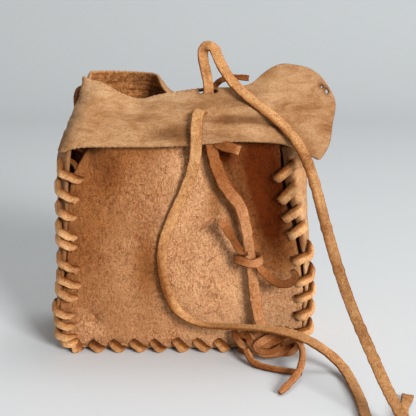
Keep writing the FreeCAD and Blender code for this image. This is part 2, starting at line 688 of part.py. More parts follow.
slideTop = Vec(*thongRoute[6])
slideBottom = Vec(*thongRoute[7])
slideLine = (slideTop - slideBottom).normalize()
sliderCentre = Vec(31.1, -30.0, 46.0)
sliderCentre = slideBottom + slideLine * (sliderCentre - slideBottom).dot(slideLine)
sliderTurn = FreeCAD.Rotation(Vec(0, 0, 1), slideLine)


def makeSlider():
    """A round-ended barrel with a clear bore for the thong."""
    body = newBody("slider_knot")
    profile = newSketch(body, "slider_profile", "XZ_Plane")
    addRectangle(profile, "(sizes.thong_thick / 2 + sizes.hole_play)", "-sizes.slider_long / 2",
                 "(sizes.slider_round - sizes.thong_thick / 2 - sizes.hole_play)", "sizes.slider_long")
    barrel = body.newObject("PartDesign::Revolution", "slider_barrel")
    barrel.Profile = profile
    barrel.ReferenceAxis = (profile, ["V_Axis"])
    barrel.Angle = 360
    doc.recompute()
    rims = []
    for i, edge in enumerate(barrel.Shape.Edges, start=1):
        if edge.BoundBox.ZLength < 1e-4 and abs(edge.BoundBox.XMax - size("slider_round")) < 1e-4:
            rims.append("Edge%d" % i)
    rounded = body.newObject("PartDesign::Fillet", "slider_rounding")
    rounded.Base = (barrel, rims)
    rounded.setExpression("Radius", "(sizes.slider_round - sizes.thong_thick / 2 - sizes.hole_play) * 0.8")
    body.Tip = rounded
    doc.recompute()
    body.Placement = FreeCAD.Placement(sliderCentre, sliderTurn)
    return body


makeSlider()
tailUpRoute = [(28.6, -33.0, 49.2), (25.6, -34.0, 54.4), (21.8, -34.0, 60.2), (17.8, -32.8, 66.2)]
tailSideRoute = [(34.2, -32.2, 44.6), (38.6, -33.4, 39.8), (44.2, -34.4, 37.2), (49.8, -34.8, 39.0)]
saveCord("slider_tail_up", tailUpRoute, tailThick)
saveCord("slider_tail_side", tailSideRoute, tailThick)


# Checks and files.

doc.recompute()
for obj in doc.Objects:
    if "Invalid" in obj.State or "Error" in obj.State:
        raise SystemExit("%s did not build" % obj.Name)

os.makedirs("parts", exist_ok=True)
for label, obj in subParts.items():
    shape = obj.Shape
    if shape.isNull() or not shape.isValid():
        raise SystemExit("%s has no valid shape" % label)
    shape.exportStep("parts/%s.step" % label)
print("%d sub-parts written" % len(subParts))
print("slide axis %.7f %.7f %.7f" % tuple(slideLine))
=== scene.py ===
import math
import bpy
import numpy as np
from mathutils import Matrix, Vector


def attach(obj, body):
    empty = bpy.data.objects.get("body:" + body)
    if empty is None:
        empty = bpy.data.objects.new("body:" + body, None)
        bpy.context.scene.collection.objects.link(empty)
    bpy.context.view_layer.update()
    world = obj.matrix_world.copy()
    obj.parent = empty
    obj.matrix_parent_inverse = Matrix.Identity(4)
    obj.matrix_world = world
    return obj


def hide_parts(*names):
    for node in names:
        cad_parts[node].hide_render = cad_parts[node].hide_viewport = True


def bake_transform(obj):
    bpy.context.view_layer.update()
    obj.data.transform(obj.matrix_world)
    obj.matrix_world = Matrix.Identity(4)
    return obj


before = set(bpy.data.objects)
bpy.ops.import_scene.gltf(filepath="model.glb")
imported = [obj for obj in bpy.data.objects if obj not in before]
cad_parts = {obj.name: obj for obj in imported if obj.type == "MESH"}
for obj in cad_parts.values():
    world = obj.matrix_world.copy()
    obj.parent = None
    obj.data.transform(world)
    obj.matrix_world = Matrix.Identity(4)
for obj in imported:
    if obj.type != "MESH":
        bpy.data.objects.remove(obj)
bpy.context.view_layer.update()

# Hand-laced leather dice bag: suede panels and a grain side gusset under a soft collar.
# Metres, +Z up, the front towards -Y. Lengths in the settings below are millimetres.

mm = 0.001
floorGap = 0.2 * mm
print("frame loaded, nodes:", len(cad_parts))


# Camera

cameraSettings = {"target": (11.7, -24.0, 69.9), "distance": 430.0, "azimuth": 0.0, "elevation": 16.0,
                  "lens": 82.7, "sensor": 36.0}


def makeCamera(values):
    data = bpy.data.cameras.new("camera")
    data.lens = values["lens"]
    data.sensor_width = values["sensor"]
    data.dof.use_dof = False
    camera = bpy.data.objects.new("camera", data)
    bpy.context.scene.collection.objects.link(camera)
    az = math.radians(values["azimuth"])
    el = math.radians(values["elevation"])
    away = Vector((-math.sin(az) * math.cos(el), -math.cos(az) * math.cos(el), math.sin(el)))
    target = Vector(values["target"]) * mm
    camera.location = target + away * values["distance"] * mm
    camera.rotation_euler = (-away).to_track_quat("-Z", "Y").to_euler()
    bpy.context.scene.camera = camera
    return camera


makeCamera(cameraSettings)


# Curves and grids

def splineMatrix(count, places):
    # Natural cubic spline through evenly numbered points: a row holds the points' weights at one place.
    system = np.eye(count)
    bend = np.zeros((count, count))
    inner = np.arange(1, count - 1)
    system[inner, inner - 1] = 1
    system[inner, inner] = 4
    system[inner, inner + 1] = 1
    bend[inner, inner - 1] = 6
    bend[inner, inner] = -12
    bend[inner, inner + 1] = 6
    second = np.linalg.solve(system, bend)
    whole = np.clip(places.astype(int), 0, count - 2)
    part = (places - whole)[:, None]
    near = 1 - part
    points = np.eye(count)
    return (near * points[whole] + part * points[whole + 1]
            + (near ** 3 - near) / 6 * second[whole] + (part ** 3 - part) / 6 * second[whole + 1])


def splineThrough(points, samples):
    # A smooth line through the given points, read at evenly spaced lengths.
    points = np.asarray(points, float)
    fine = splineMatrix(len(points), np.linspace(0, len(points) - 1, samples * 8)) @ points
    return evenly(fine, samples)


def evenly(line, samples):
    # The same line read at evenly spaced lengths; columns after the third go along with it.
    run = np.concatenate([[0], np.cumsum(np.linalg.norm(np.diff(line[:, :3], axis=0), axis=1))])
    places = np.linspace(0, run[-1], samples)
    return np.stack([np.interp(places, run, line[:, k]) for k in range(line.shape[1])], axis=1)


def unit(vectors):
    return vectors / np.maximum(np.linalg.norm(vectors, axis=-1, keepdims=True), 1e-12)


def smoothNoise(places, size, seed):
    # Soft random values between about -1 and 1: a few dozen plane waves of near that size added up.
    rng = np.random.default_rng(seed)
    waves = 28
    direction = unit(rng.normal(size=(waves, places.shape[-1])))
    step = 2 * math.pi / (size * rng.uniform(0.6, 1.7, waves))
    phase = rng.uniform(0, 2 * math.pi, waves)
    total = np.zeros(places.shape[:-1])
    for k in range(waves):
        total += np.sin(places @ direction[k] * step[k] + phase[k])
    return total / math.sqrt(waves / 2) / 1.6


def creaseDepth(across, up, creases):
    # Each crease is a line of points with a width and a depth, and falls off as a bell curve from the line.
    depth = np.zeros(across.shape)
    for crease in creases:
        line = splineThrough(np.asarray(crease["points"], float), 60)
        gap = np.hypot(across[..., None] - line[:, 0], up[..., None] - line[:, 1])
        nearest = gap.argmin(axis=-1)
        fade = np.sin(math.pi * np.clip(nearest / 59 * 0.9 + 0.05, 0, 1)) ** 0.7
        depth += crease["depth"] * fade * np.exp(-(gap.min(axis=-1) / crease["width"]) ** 2)
    return depth


def gridFaces(rows, columns, first=0):
    # A quad between each four neighbouring points of a grid.
    r = np.arange(rows - 1)[:, None] * columns + np.arange(columns - 1)[None, :] + first
    return np.stack([r, r + 1, r + columns + 1, r + columns], axis=-1).reshape(-1, 4)


def makePiece(name, points, faces, materials, uv=None, marks=None):
    mesh = bpy.data.meshes.new(name)
    mesh.from_pydata(points.tolist(), [], faces if isinstance(faces, list) else faces.tolist())
    if uv is not None:
        corner = np.empty(len(mesh.loops), int)
        mesh.loops.foreach_get("vertex_index", corner)
        mesh.uv_layers.new(name="UVMap").data.foreach_set("uv", uv[corner].ravel())
    for key, values in (marks or {}).items():
        layer = mesh.attributes.new(key, "FLOAT", "POINT")
        layer.data.foreach_set("value", np.ascontiguousarray(values, dtype=np.float32))
    mesh.polygons.foreach_set("use_smooth", [True] * len(mesh.polygons))
    for material in materials:
        mesh.materials.append(material)
    mesh.update()
    piece = bpy.data.objects.new(name, mesh)
    bpy.context.scene.collection.objects.link(piece)
    return piece


def gridNormals(grid):
    along = np.gradient(grid, axis=0)
    across = np.gradient(grid, axis=1)
    return unit(np.cross(across, along))


def holeWalls(gone, columns, count):
    # Quads from the face to the back along every side that a left-out cell shares with a kept one.
    cell = np.arange(gone.size).reshape(gone.shape)
    corner = cell + np.arange(gone.shape[0])[:, None]
    walls = []
    for near, far, place in ((gone[:, :-1], gone[:, 1:], corner[:, 1:]), (gone[:-1], gone[1:], corner[1:])):
        step = columns if near.shape[1] < gone.shape[1] else 1
        for cells, flip in ((far & ~near, step == 1), (near & ~far, step != 1)):
            first = place[cells]
            second = first + step
            ends = (first, second) if flip else (second, first)
            walls.append(np.stack([ends[0], ends[1], ends[1] + count, ends[0] + count], axis=1))
    return np.concatenate(walls)


def leatherShell(name, grid, thickness, materials, marks=None, roundness=0.45, gone=None):
    # A closed sheet: the middle surface moved half the thickness each way, its rims joined by a rounded
    # edge.
    # marks are values on the grid; side is 0 on the face, 1 on the back and 0.5 on the cut edge.
    # gone marks the cells of the grid that are left out as holes.
    rows, columns = grid.shape[:2]
    normal = gridNormals(grid)
    outer = (grid + normal * thickness / 2).reshape(-1, 3)
    inner = (grid - normal * thickness / 2).reshape(-1, 3)
    index = np.arange(rows * columns).reshape(rows, columns)
    ring = np.concatenate([index[0, :-1], index[:-1, -1], index[-1, :0:-1], index[:0:-1, 0]])
    step = np.concatenate([
        (grid[0] - grid[1])[:-1], (grid[:, -1] - grid[:, -2])[:-1], (grid[-1] - grid[-2])[:0:-1],
        (grid[:, 0] - grid[:, 1])[:0:-1]])
    edge = grid.reshape(-1, 3)[ring] + unit(step) * thickness * roundness
    count = rows * columns
    points = np.concatenate([outer, inner, edge])
    face = gridFaces(rows, columns)
    back = gridFaces(rows, columns, count)[:, ::-1]
    after = np.roll(np.arange(len(ring)), -1)
    rim = np.arange(len(ring)) + 2 * count
    upper = np.stack([ring[after], ring, rim, rim[after]], axis=1)
    lower = np.stack([rim[after], rim, ring + count, ring[after] + count], axis=1)
    run = np.linalg.norm(np.diff(grid, axis=0), axis=-1).mean(axis=1)
    wide = np.linalg.norm(np.diff(grid, axis=1), axis=-1).mean(axis=0)
    u, v = np.meshgrid(np.concatenate([[0], np.cumsum(wide)]), np.concatenate([[0], np.cumsum(run)]))
    flat = np.stack([u, v], axis=-1).reshape(-1, 2)
    uv = np.concatenate([flat, flat, flat[ring]])
    allMarks = {"side": np.concatenate([np.zeros(count), np.ones(count), np.full(len(ring), 0.5)])}
    for key, values in (marks or {}).items():
        values = values.reshape(-1)
        allMarks[key] = np.concatenate([values, values, values[ring]])
    faces = [face, back, upper, lower]
    if gone is not None:
        faces = [face[~gone.ravel()], back[~gone.ravel()], upper, lower, holeWalls(gone, columns, count)]
    used, numbers = np.unique(np.concatenate(faces), return_inverse=True)
    allMarks = {key: values[used] for key, values in allMarks.items()}
    return makePiece(name, points[used], numbers.reshape(-1, 4), materials, uv[used], allMarks)


laceCorners = 20


def laceProfile():
    # A flat strip's section: a circle squared off towards a rectangle, both half sizes 1.
    turn = np.linspace(0, 2 * math.pi, laceCorners, endpoint=False)
    c, s = np.cos(turn), np.sin(turn)
    return np.stack([np.sign(c) * np.abs(c) ** 0.38, np.sign(s) * np.abs(s) ** 0.62], axis=1)


def laceShape(path, facing, width, thickness, cup=0.0, seed=1):
    # The strip's section carried along a path, its flat side turned to the facing direction.
    along = unit(np.gradient(path, axis=0))
    flat = unit(facing - (facing * along).sum(axis=1, keepdims=True) * along)
    sideways = np.cross(along, flat)
    profile = laceProfile()
    run = np.concatenate([[0], np.cumsum(np.linalg.norm(np.diff(path, axis=0), axis=1))])
    wobble = 1 + 0.05 * smoothNoise(run[:, None], 0.006, seed)
    wobble = wobble + 0.025 * smoothNoise(run[:, None], 0.0016, seed + 1)
    halfWide = (np.broadcast_to(width, run.shape) / 2 * wobble)[:, None, None]
    halfThick = (np.broadcast_to(thickness, run.shape) / 2)[:, None, None]
    x = profile[:, 0][None, :, None] * halfWide * sideways[:, None, :]
    y = profile[:, 1][None, :, None] * halfThick * flat[:, None, :]
    bow = cup * (profile[:, 0] ** 2 - 0.5)[None, :, None] * halfThick * 2 * flat[:, None, :]
    rings = path[:, None, :] + x + y + bow
    rings[..., 2] = np.maximum(rings[..., 2], floorGap)
    rows, columns = rings.shape[:2]
    c = np.arange(columns)
    d = (c + 1) % columns
    r = np.arange(rows - 1)[:, None] * columns
    sides = np.stack([r + c, r + d, r + columns + d, r + columns + c], axis=-1).reshape(-1, 4)
    first = rows * columns
    last = (rows - 1) * columns
    caps = np.concatenate([np.stack([d, c, np.full(columns, first)], axis=1),
                           np.stack([last + c, last + d, np.full(columns, first + 1)], axis=1)])
    nap = np.broadcast_to((profile[:, 1] + 1) / 2, (rows, columns)).reshape(-1)
    edge = np.broadcast_to(np.abs(profile[:, 0]) ** 3, (rows, columns)).reshape(-1)
    return {"points": np.concatenate([rings.reshape(-1, 3), path[:1], path[-1:]]),
            "faces": sides.tolist() + caps.tolist(),
            "marks": {"nap": np.concatenate([nap, [0.5, 0.5]]), "edge": np.concatenate([edge, [1, 1]]),
                      "shade": np.zeros(rows * columns + 2)}}


def makeLaces(name, shapes, materials):
    # Several strips in one piece.
    faces = []
    first = 0
    for shape in shapes:
        faces += [[corner + first for corner in face] for face in shape["faces"]]
        first += len(shape["points"])
    points = np.concatenate([shape["points"] for shape in shapes])
    marks = {key: np.concatenate([shape["marks"][key] for shape in shapes]) for key in shapes[0]["marks"]}
    return makePiece(name, points, faces, materials, None, marks)


def finishPiece(piece, body, slot, *nodes):
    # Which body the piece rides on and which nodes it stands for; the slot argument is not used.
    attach(piece, body)
    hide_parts(*nodes)
    return piece


def routeLine(points, step):
    # The NURBS line that the route's points control, read evenly.
    curve = bpy.data.curves.new("route", "CURVE")
    curve.dimensions = "3D"
    curve.resolution_u = 16
    spline = curve.splines.new("NURBS")
    spline.points.add(len(points) - 1)
    for place, (x, y, z) in zip(spline.points, points):
        place.co = (x * mm, y * mm, z * mm, 1)
    spline.order_u = 3
    spline.use_endpoint_u = True
    holder = bpy.data.objects.new("route", curve)
    mesh = bpy.data.meshes.new_from_object(holder)
    line = np.empty(len(mesh.vertices) * 3)
    mesh.vertices.foreach_get("co", line)
    line = line.reshape(-1, 3)
    bpy.data.objects.remove(holder)
    bpy.data.curves.remove(curve)
    bpy.data.meshes.remove(mesh)
    length = np.linalg.norm(np.diff(line, axis=0), axis=1).sum()
    return evenly(line, max(int(length / (step * mm)), 8)), length


def facingAlong(samples, facings):
    # Directions between the given ones, each given with its share of the length.
    shares = [share for share, direction in facings]
    directions = np.asarray([direction for share, direction in facings], float)
    places = np.linspace(0, 1, samples)
    return unit(np.stack([np.interp(places, shares, directions[:, k]) for k in range(3)], axis=1))


# Materials

def newMaterial(name):
    material = bpy.data.materials.new(name)
    material.use_nodes = True
    material.node_tree.nodes.clear()
    output = material.node_tree.nodes.new("ShaderNodeOutputMaterial")
    shader = material.node_tree.nodes.new("ShaderNodeBsdfPrincipled")
    material.node_tree.links.new(shader.outputs["BSDF"], output.inputs["Surface"])
    return material, material.node_tree, shader


def wire(tree, source, target):
    tree.links.new(source, target)


def coordinates(tree, stretch=(1, 1, 1), turn=(0, 0, 0)):
    place = tree.nodes.new("ShaderNodeTexCoord")
    mapping = tree.nodes.new("ShaderNodeMapping")
    mapping.inputs["Scale"].default_value = stretch
    mapping.inputs["Rotation"].default_value = turn
    wire(tree, place.outputs["Object"], mapping.inputs["Vector"])
    return mapping.outputs["Vector"]


def noise(tree, vector, scale, detail=4.0, roughness=0.6, distortion=0.0):
    node = tree.nodes.new("ShaderNodeTexNoise")
    node.inputs["Scale"].default_value = scale
    node.inputs["Detail"].default_value = detail
    node.inputs["Roughness"].default_value = roughness
    node.inputs["Distortion"].default_value = distortion
    wire(tree, vector, node.inputs["Vector"])
    return node.outputs["Fac"]


def ramp(tree, value, stops):
    node = tree.nodes.new("ShaderNodeValToRGB")
    elements = node.color_ramp.elements
    while len(elements) < len(stops):
        elements.new(0.5)
    for element, (place, color) in zip(elements, stops):
        element.position = place
        element.color = (*color, 1) if isinstance(color, tuple) else (color, color, color, 1)
    wire(tree, value, node.inputs["Fac"])
    return node.outputs["Color"]


def mixColor(tree, share, first, second, blend="MIX"):
    node = tree.nodes.new("ShaderNodeMix")
    node.data_type = "RGBA"
    node.blend_type = blend
    for socket, value in ((node.inputs[0], share), (node.inputs[6], first), (node.inputs[7], second)):
        if isinstance(value, (int, float)):
            socket.default_value = value
        elif isinstance(value, tuple):
            socket.default_value = (*value, 1)
        else:
            wire(tree, value, socket)
    return node.outputs[2]


def multiply(tree, color, factor):
    return mixColor(tree, 1.0, color, factor, "MULTIPLY")


def calculate(tree, operation, first, second):
    node = tree.nodes.new("ShaderNodeMath")
    node.operation = operation
    for socket, value in ((node.inputs[0], first), (node.inputs[1], second)):
        if isinstance(value, (int, float)):
            socket.default_value = value
        else:
            wire(tree, value, socket)
    return node.outputs[0]


def attribute(tree, name):
    node = tree.nodes.new("ShaderNodeAttribute")
    node.attribute_name = name
    return node.outputs["Fac"]


def average(tree, first, second, share):
    # Share of the second value, the rest of the first.
    return calculate(tree, "ADD", calculate(tree, "MULTIPLY", first, 1 - share),
                     calculate(tree, "MULTIPLY", second, share))


def setSurface(shader, surface):
    for name, value in surface.items():
        shader.inputs[name].default_value = value


def bump(tree, height, strength, distance, below=None):
    node = tree.nodes.new("ShaderNodeBump")
    node.inputs["Strength"].default_value = strength
    node.inputs["Distance"].default_value = distance
    wire(tree, height, node.inputs["Height"])
    if below is not None:
        wire(tree, below, node.inputs["Normal"])
    return node.outputs["Normal"]


suedeLook = {"dark": (0.45, 0.172, 0.070), "middle": (0.635, 0.322, 0.155), "light": (0.72, 0.388, 0.192),
             "patch": 60.0, "clump": 1000.0, "nap": 1700.0}
suedeSurface = {"Roughness": 0.95, "Specular IOR Level": 0.15, "Specular Tint": (1.0, 0.55, 0.30, 1),
                "Sheen Weight": 0.08, "Sheen Tint": (1.0, 0.50, 0.20, 1), "Sheen Roughness": 0.6}


def makeSuede(name, look):
    # Rough flesh side: clumps of fibre over faint patches, short dark lines between fibres, and a fine nap.
    material, tree, shader = newMaterial(name)
    place = coordinates(tree)
    patch = noise(tree, place, look["patch"], 3, 0.55, 0.6)
    clump = noise(tree, coordinates(tree, (1, 1, 0.6), (0, 0.4, 0)), look["clump"], 4, 0.7, 0.8)
    nap = noise(tree, place, look["nap"], 3, 0.7)
    mottle = average(tree, patch, clump, 0.65)
    color = ramp(tree, mottle, [(0.38, look["dark"]), (0.47, look["middle"]), (0.62, look["light"])])
    between = noise(tree, coordinates(tree, (1, 1, 0.7), (0, -0.4, 0)), 300, 4, 0.65, 1.6)
    line = ramp(tree, between, [(0.375, 1.0), (0.40, (0.48, 0.40, 0.34)), (0.425, 1.0)])
    color = multiply(tree, color, line)
    fleck = ramp(tree, nap, [(0.35, (0.50, 0.40, 0.32)), (0.44, 1.0), (0.60, 1.10)])
    color = multiply(tree, color, fleck)
    # Painted shade: the shade mark darkens and reddens the colour where shadows and hollows are painted on
    # the panel.
    shade = ramp(tree, attribute(tree, "shade"),
                 [(0.0, 1.0), (0.5, (0.50, 0.36, 0.23)), (1.0, (0.150, 0.042, 0.007))])
    color = multiply(tree, color, shade)
    wire(tree, color, shader.inputs["Base Color"])
    fibre = ramp(tree, clump, [(0.36, 0.0), (0.52, 0.7), (0.66, 1.0)])
    relief = bump(tree, fibre, 0.62, 0.0009)
    relief = bump(tree, line, 0.5, 0.0006, relief)
    wire(tree, bump(tree, nap, 0.5, 0.0004, relief), shader.inputs["Normal"])
    setSurface(shader, suedeSurface)
    return material


grainLook = {"dark": (0.250, 0.106, 0.036), "middle": (0.372, 0.190, 0.083), "light": (0.485, 0.284, 0.145),
             "flesh": (0.38, 0.150, 0.048), "edge": (0.42, 0.22, 0.096)}
gussetLook = {**grainLook, "dark": (0.32, 0.142, 0.054), "middle": (0.47, 0.245, 0.112),
              "light": (0.60, 0.355, 0.185)}
grainSurface = {"Roughness": 0.78, "Specular IOR Level": 0.20, "Specular Tint": (1.0, 0.72, 0.48, 1)}


def makeGrain(name, look):
    # Smooth side: fine streaks along the collar, small wrinkles and pores. The back is darker, rough suede.
    material, tree, shader = newMaterial(name)
    streak = noise(tree, coordinates(tree, (0.40, 0.7, 1.0)), 300, 5, 0.72, 1.0)
    patch = noise(tree, coordinates(tree), 55, 3, 0.5, 0.4)
    pore = noise(tree, coordinates(tree), 1500, 3, 0.7)
    mottle = average(tree, patch, streak, 0.5)
    face = ramp(tree, mottle, [(0.37, look["dark"]), (0.48, look["middle"]), (0.60, look["light"])])
    clump = noise(tree, coordinates(tree), 480, 5, 0.75, 0.8)
    flesh = multiply(tree, look["flesh"], ramp(tree, clump, [(0.38, 0.45), (0.50, 0.95), (0.62, 1.55)]))
    side = attribute(tree, "side")
    edge = ramp(tree, side, [(0.1, 0.0), (0.45, 1.0), (0.55, 1.0), (0.9, 0.0)])
    back = ramp(tree, side, [(0.6, 0.0), (0.9, 1.0)])
    color = mixColor(tree, back, face, flesh)
    color = mixColor(tree, edge, color, look["edge"])
    color = multiply(tree, color, ramp(tree, pore, [(0.34, (0.70, 0.64, 0.58)), (0.47, 1.0), (0.64, 1.10)]))
    # Painted shade: the shade mark darkens the colour where the collar and the gusset carry painted shadows
    # and hollows.
    shade = ramp(tree, attribute(tree, "shade"),
                 [(0.0, 1.0), (0.5, (0.60, 0.52, 0.46)), (1.0, (0.30, 0.22, 0.16))])
    color = multiply(tree, color, shade)
    wire(tree, color, shader.inputs["Base Color"])
    wrinkle = noise(tree, coordinates(tree, (0.40, 0.8, 1.6)), 420, 5, 0.62, 1.2)
    relief = bump(tree, wrinkle, 0.45, 0.0006)
    relief = bump(tree, mixColor(tree, back, (0.5, 0.5, 0.5), clump), 0.6, 0.0009, relief)
    wire(tree, bump(tree, pore, 0.45, 0.0003, relief), shader.inputs["Normal"])
    setSurface(shader, grainSurface)
    return material


laceLook = {"dark": (0.200, 0.074, 0.024), "middle": (0.355, 0.163, 0.061), "light": (0.510, 0.270, 0.114),
            "nap": 2000.0}
seamLook = {**laceLook, "dark": (0.270, 0.106, 0.038), "middle": (0.510, 0.252, 0.106),
            "light": (0.690, 0.395, 0.185)}
thongLook = {"dark": (0.21, 0.068, 0.022), "middle": (0.38, 0.158, 0.062), "light": (0.52, 0.255, 0.118),
             "nap": 2000.0}
laceSurface = {"Roughness": 0.93, "Specular IOR Level": 0.15, "Specular Tint": (1.0, 0.60, 0.35, 1),
               "Sheen Weight": 0.10, "Sheen Tint": (1.0, 0.58, 0.28, 1), "Sheen Roughness": 0.5}


def makeLace(name, look):
    # Napped strip: specks along it, paler on its smooth face and darker towards its long edges.
    material, tree, shader = newMaterial(name)
    speck = noise(tree, coordinates(tree), look["nap"], 4, 0.75)
    clump = noise(tree, coordinates(tree), 620, 4, 0.7, 0.5)
    long = noise(tree, coordinates(tree), 70, 2, 0.5)
    tone = average(tree, clump, long, 0.5)
    color = ramp(tree, tone, [(0.33, look["dark"]), (0.46, look["middle"]), (0.62, look["light"])])
    color = multiply(tree, color, ramp(tree, speck, [(0.36, 0.42), (0.47, 1.0), (0.66, 1.3)]))
    nap = ramp(tree, attribute(tree, "nap"), [(0.0, 0.62), (0.45, 0.80), (0.75, 1.12)])
    color = multiply(tree, color, nap)
    rim = ramp(tree, attribute(tree, "edge"), [(0.55, 1.0), (0.95, (0.60, 0.44, 0.28))])
    color = multiply(tree, color, rim)
    # Painted shade: the shade mark darkens the strip where cast shadows and hollows are painted along it.
    shade = ramp(tree, attribute(tree, "shade"),
                 [(0.0, 1.0), (0.5, (0.52, 0.38, 0.26)), (1.0, (0.20, 0.11, 0.05))])
    color = multiply(tree, color, shade)
    wire(tree, color, shader.inputs["Base Color"])
    relief = bump(tree, clump, 0.5, 0.0005)
    wire(tree, bump(tree, speck, 0.6, 0.00025, relief), shader.inputs["Normal"])
    setSurface(shader, laceSurface)
    return material


suedePanel = makeSuede("suedePanel", suedeLook)
grainLeather = makeGrain("grainLeather", grainLook)
gussetLeather = makeGrain("gussetLeather", gussetLook)
laceSuede = makeLace("laceSuede", laceLook)
seamSuede = makeLace("seamSuede", seamLook)
thongSuede = makeLace("thongSuede", thongLook)
print("materials ready")


# Cords: each route repeats the cord's own points, in millimetres, from one end to the other.

cordShape = {"cup": 0.2, "step": 0.8}


def makeCordPiece(values, nodes, material=laceSuede):
    line, length = routeLine(values["route"], values.get("step", cordShape["step"]))
    facing = facingAlong(len(line), values["facings"])
    share = np.linspace(0, 1, len(line))
    width = np.interp(share, *zip(*values["widths"])) * mm
    shape = laceShape(line, facing, width, values["thick"] * mm, cordShape["cup"], values["seed"])
    # Painted shade towards one long edge, by an amount given at shares of the length; a low start spreads it
    # across the whole width.
    amount = np.interp(share, *zip(*values["sideShade"]))
    fade = np.clip((laceProfile()[:, 0] - values["shadeFrom"]) * 2.5, 0, 1)
    shape["marks"]["shade"][:-2] = (amount[:, None] * fade).reshape(-1)
    piece = makeLaces(values["name"], [shape], [material])
    finishPiece(piece, values["body"], values["slot"], *nodes)
    print("  %s: %.1f mm along its line, widest %.1f mm" % (values["name"], length / mm, width.max() / mm))
    return piece


drawstringLong = {
    "name": "drawstringLong", "body": "bag", "slot": "drawstring_suede", "seed": 11,
    "route": [(11.7, -9.3, 115.0), (12.2, -12.2, 121.0), (11.0, -11.7, 128.5), (9.2, -10.8, 135.4),
              (9.6, -10.6, 140.6), (14.4, -12.2, 140.8), (17.0, -12.8, 133.2), (22.6, -14.6, 124.6),
              (32.0, -20.8, 117.0), (42.6, -26.6, 110.1), (50.4, -30.2, 102.0), (55.2, -34.0, 93.2),
              (58.6, -41.0, 82.0), (62.2, -49.0, 67.6), (67.0, -58.8, 51.4), (72.0, -68.4, 37.6),
              (78.2, -80.8, 24.4), (83.8, -94.0, 12.4), (88.4, -106.4, 6.4)],
    "facings": [(0.0, (0.1, -1, 0.1)), (0.10, (0.35, -1, 0.0)), (0.155, (-0.4, -0.7, 1.2)),
                (0.20, (0.2, -1, 0.7)), (0.5, (-0.2, -1, 0.3)), (0.75, (-0.45, -1, 0.1)),
                (1.0, (-0.2, -0.9, 0.6))],
    "widths": [(0.0, 4.4), (0.1, 4.7), (0.5, 4.7), (0.9, 4.7), (1.0, 4.4)], "thick": 2.1,
    "sideShade": [(0.22, 0), (0.30, 0.7), (0.58, 0.7), (0.70, 0.3), (1.0, 0.3)], "shadeFrom": 0.35,
    "exit": (11.7, -9.3, 115.0), "length": 219.0, "farEnd": "knot", "lay": "loose",
}
drawstringShort = {
    "name": "drawstringShort", "body": "bag", "slot": "drawstring_suede", "seed": 12,
    "route": [(12.8, -8.4, 110.8), (12.2, -11.2, 107.4), (10.9, -16.0, 108.6), (9.6, -21.0, 113.4),
              (7.2, -28.0, 114.0), (6.6, -30.8, 106.2), (6.4, -27.8, 93.5), (2.2, -26.8, 80.0),
              (-4.2, -26.9, 67.0), (-9.6, -27.0, 52.5), (-9.0, -27.0, 37.0), (-4.2, -28.0, 22.6),
              (7.0, -30.2, 15.4), (23.0, -35.0, 16.8), (37.0, -40.2, 18.4), (50.0, -43.4, 17.2),
              (60.0, -43.6, 12.2), (68.4, -45.4, 6.2), (72.8, -52.4, 2.8), (74.6, -66.0, 1.7),
              (75.6, -80.0, 1.6), (74.9, -92.6, 1.7), (78.6, -103.0, 2.2), (84.6, -108.6, 3.8)],
    "facings": [(0.0, (0, -0.3, -1)), (0.09, (0, -0.2, 1)), (0.15, (0.05, -1, 0.4)), (0.30, (0.25, -1, 0)),
                (0.40, (0.35, -1, 0.1)), (0.45, (0.3, -0.6, 0.6)), (0.50, (0.15, -0.25, 1.0)),
                (0.59, (0.1, -0.25, 1.0)), (0.65, (0.1, -0.6, 1.0)), (0.74, (-0.1, -0.5, 1)),
                (0.80, (-0.1, -0.1, 1)), (1.0, (-0.2, -0.1, 1))],
    "widths": [(0.0, 4.6), (0.1, 5.2), (0.3, 5.0), (0.44, 4.8), (0.5, 3.3), (0.58, 3.4), (0.66, 4.6),
               (1.0, 4.4)],
    "thick": 1.9,
    "sideShade": [(0.2, 0.0), (0.32, 0.2), (0.38, 0.8), (0.43, 0.6), (0.47, 0.0), (0.75, 0.2), (1.0, 0.2)],
    "shadeFrom": -0.15,
    "exit": (12.8, -8.4, 110.8), "length": 262.7, "farEnd": "knot", "lay": "loose",
}
tieThong = {
    "name": "tieThong", "body": "bag", "slot": "thong_suede", "seed": 13,
    "route": [(12.4, -17.4, 94.0), (12.3, -18.0, 102.4), (12.8, -25.2, 102.9), (13.2, -25.4, 96.4),
              (16.0, -27.8, 87.6), (20.4, -28.9, 79.0), (28.3, -28.9, 70.4), (33.4, -28.9, 26.4),
              (35.6, -30.8, 17.6), (38.0, -34.2, 9.5)],
    "facings": [(0.0, (0, -1, 0)), (0.16, (0, -0.3, 1)), (0.3, (0.25, -1, 0.1)), (0.6, (-0.15, -1, 0.1)),
                (1.0, (0.2, -1, 0.1))],
    "widths": [(0.0, 4.4), (0.24, 5.8), (0.37, 5.4), (0.47, 5.0), (0.69, 4.4), (0.8, 5.2), (1.0, 5.0)],
    "thick": 1.8,
    "sideShade": [(0.0, 0.6), (0.26, 0.55), (0.36, 0.35), (0.46, 0.1), (1.0, 0.0)], "shadeFrom": -1.4,
    "exit": (12.4, -17.4, 94.0), "length": 112.7, "farEnd": "object", "lay": "hanging",
}
curledTail = {
    "name": "curledTail", "body": "bag", "slot": "seam_lace", "seed": 14,
    "route": [(45.5, -38.0, 10.0), (50.5, -41.5, 14.6), (53.8, -45.5, 11.4), (53.2, -52.0, 6.4),
              (49.0, -60.5, 3.2), (42.2, -69.5, 1.4)],
    "facings": [(0.0, (0.1, -0.8, 1)), (0.35, (0.8, -0.6, 0.8)), (0.7, (0.3, -0.4, 1)),
                (1.0, (0.2, -0.2, 1))],
    "widths": [(0.0, 3.2), (0.3, 3.2), (0.9, 3.0), (1.0, 2.2)], "thick": 1.6,
    "sideShade": [(0, 0.5), (0.4, 0.35), (1, 0.35)], "shadeFrom": -0.2,
    "exit": (45.5, -38.0, 10.0), "length": 42.3, "farEnd": "bare", "lay": "loose", "step": 0.5,
}
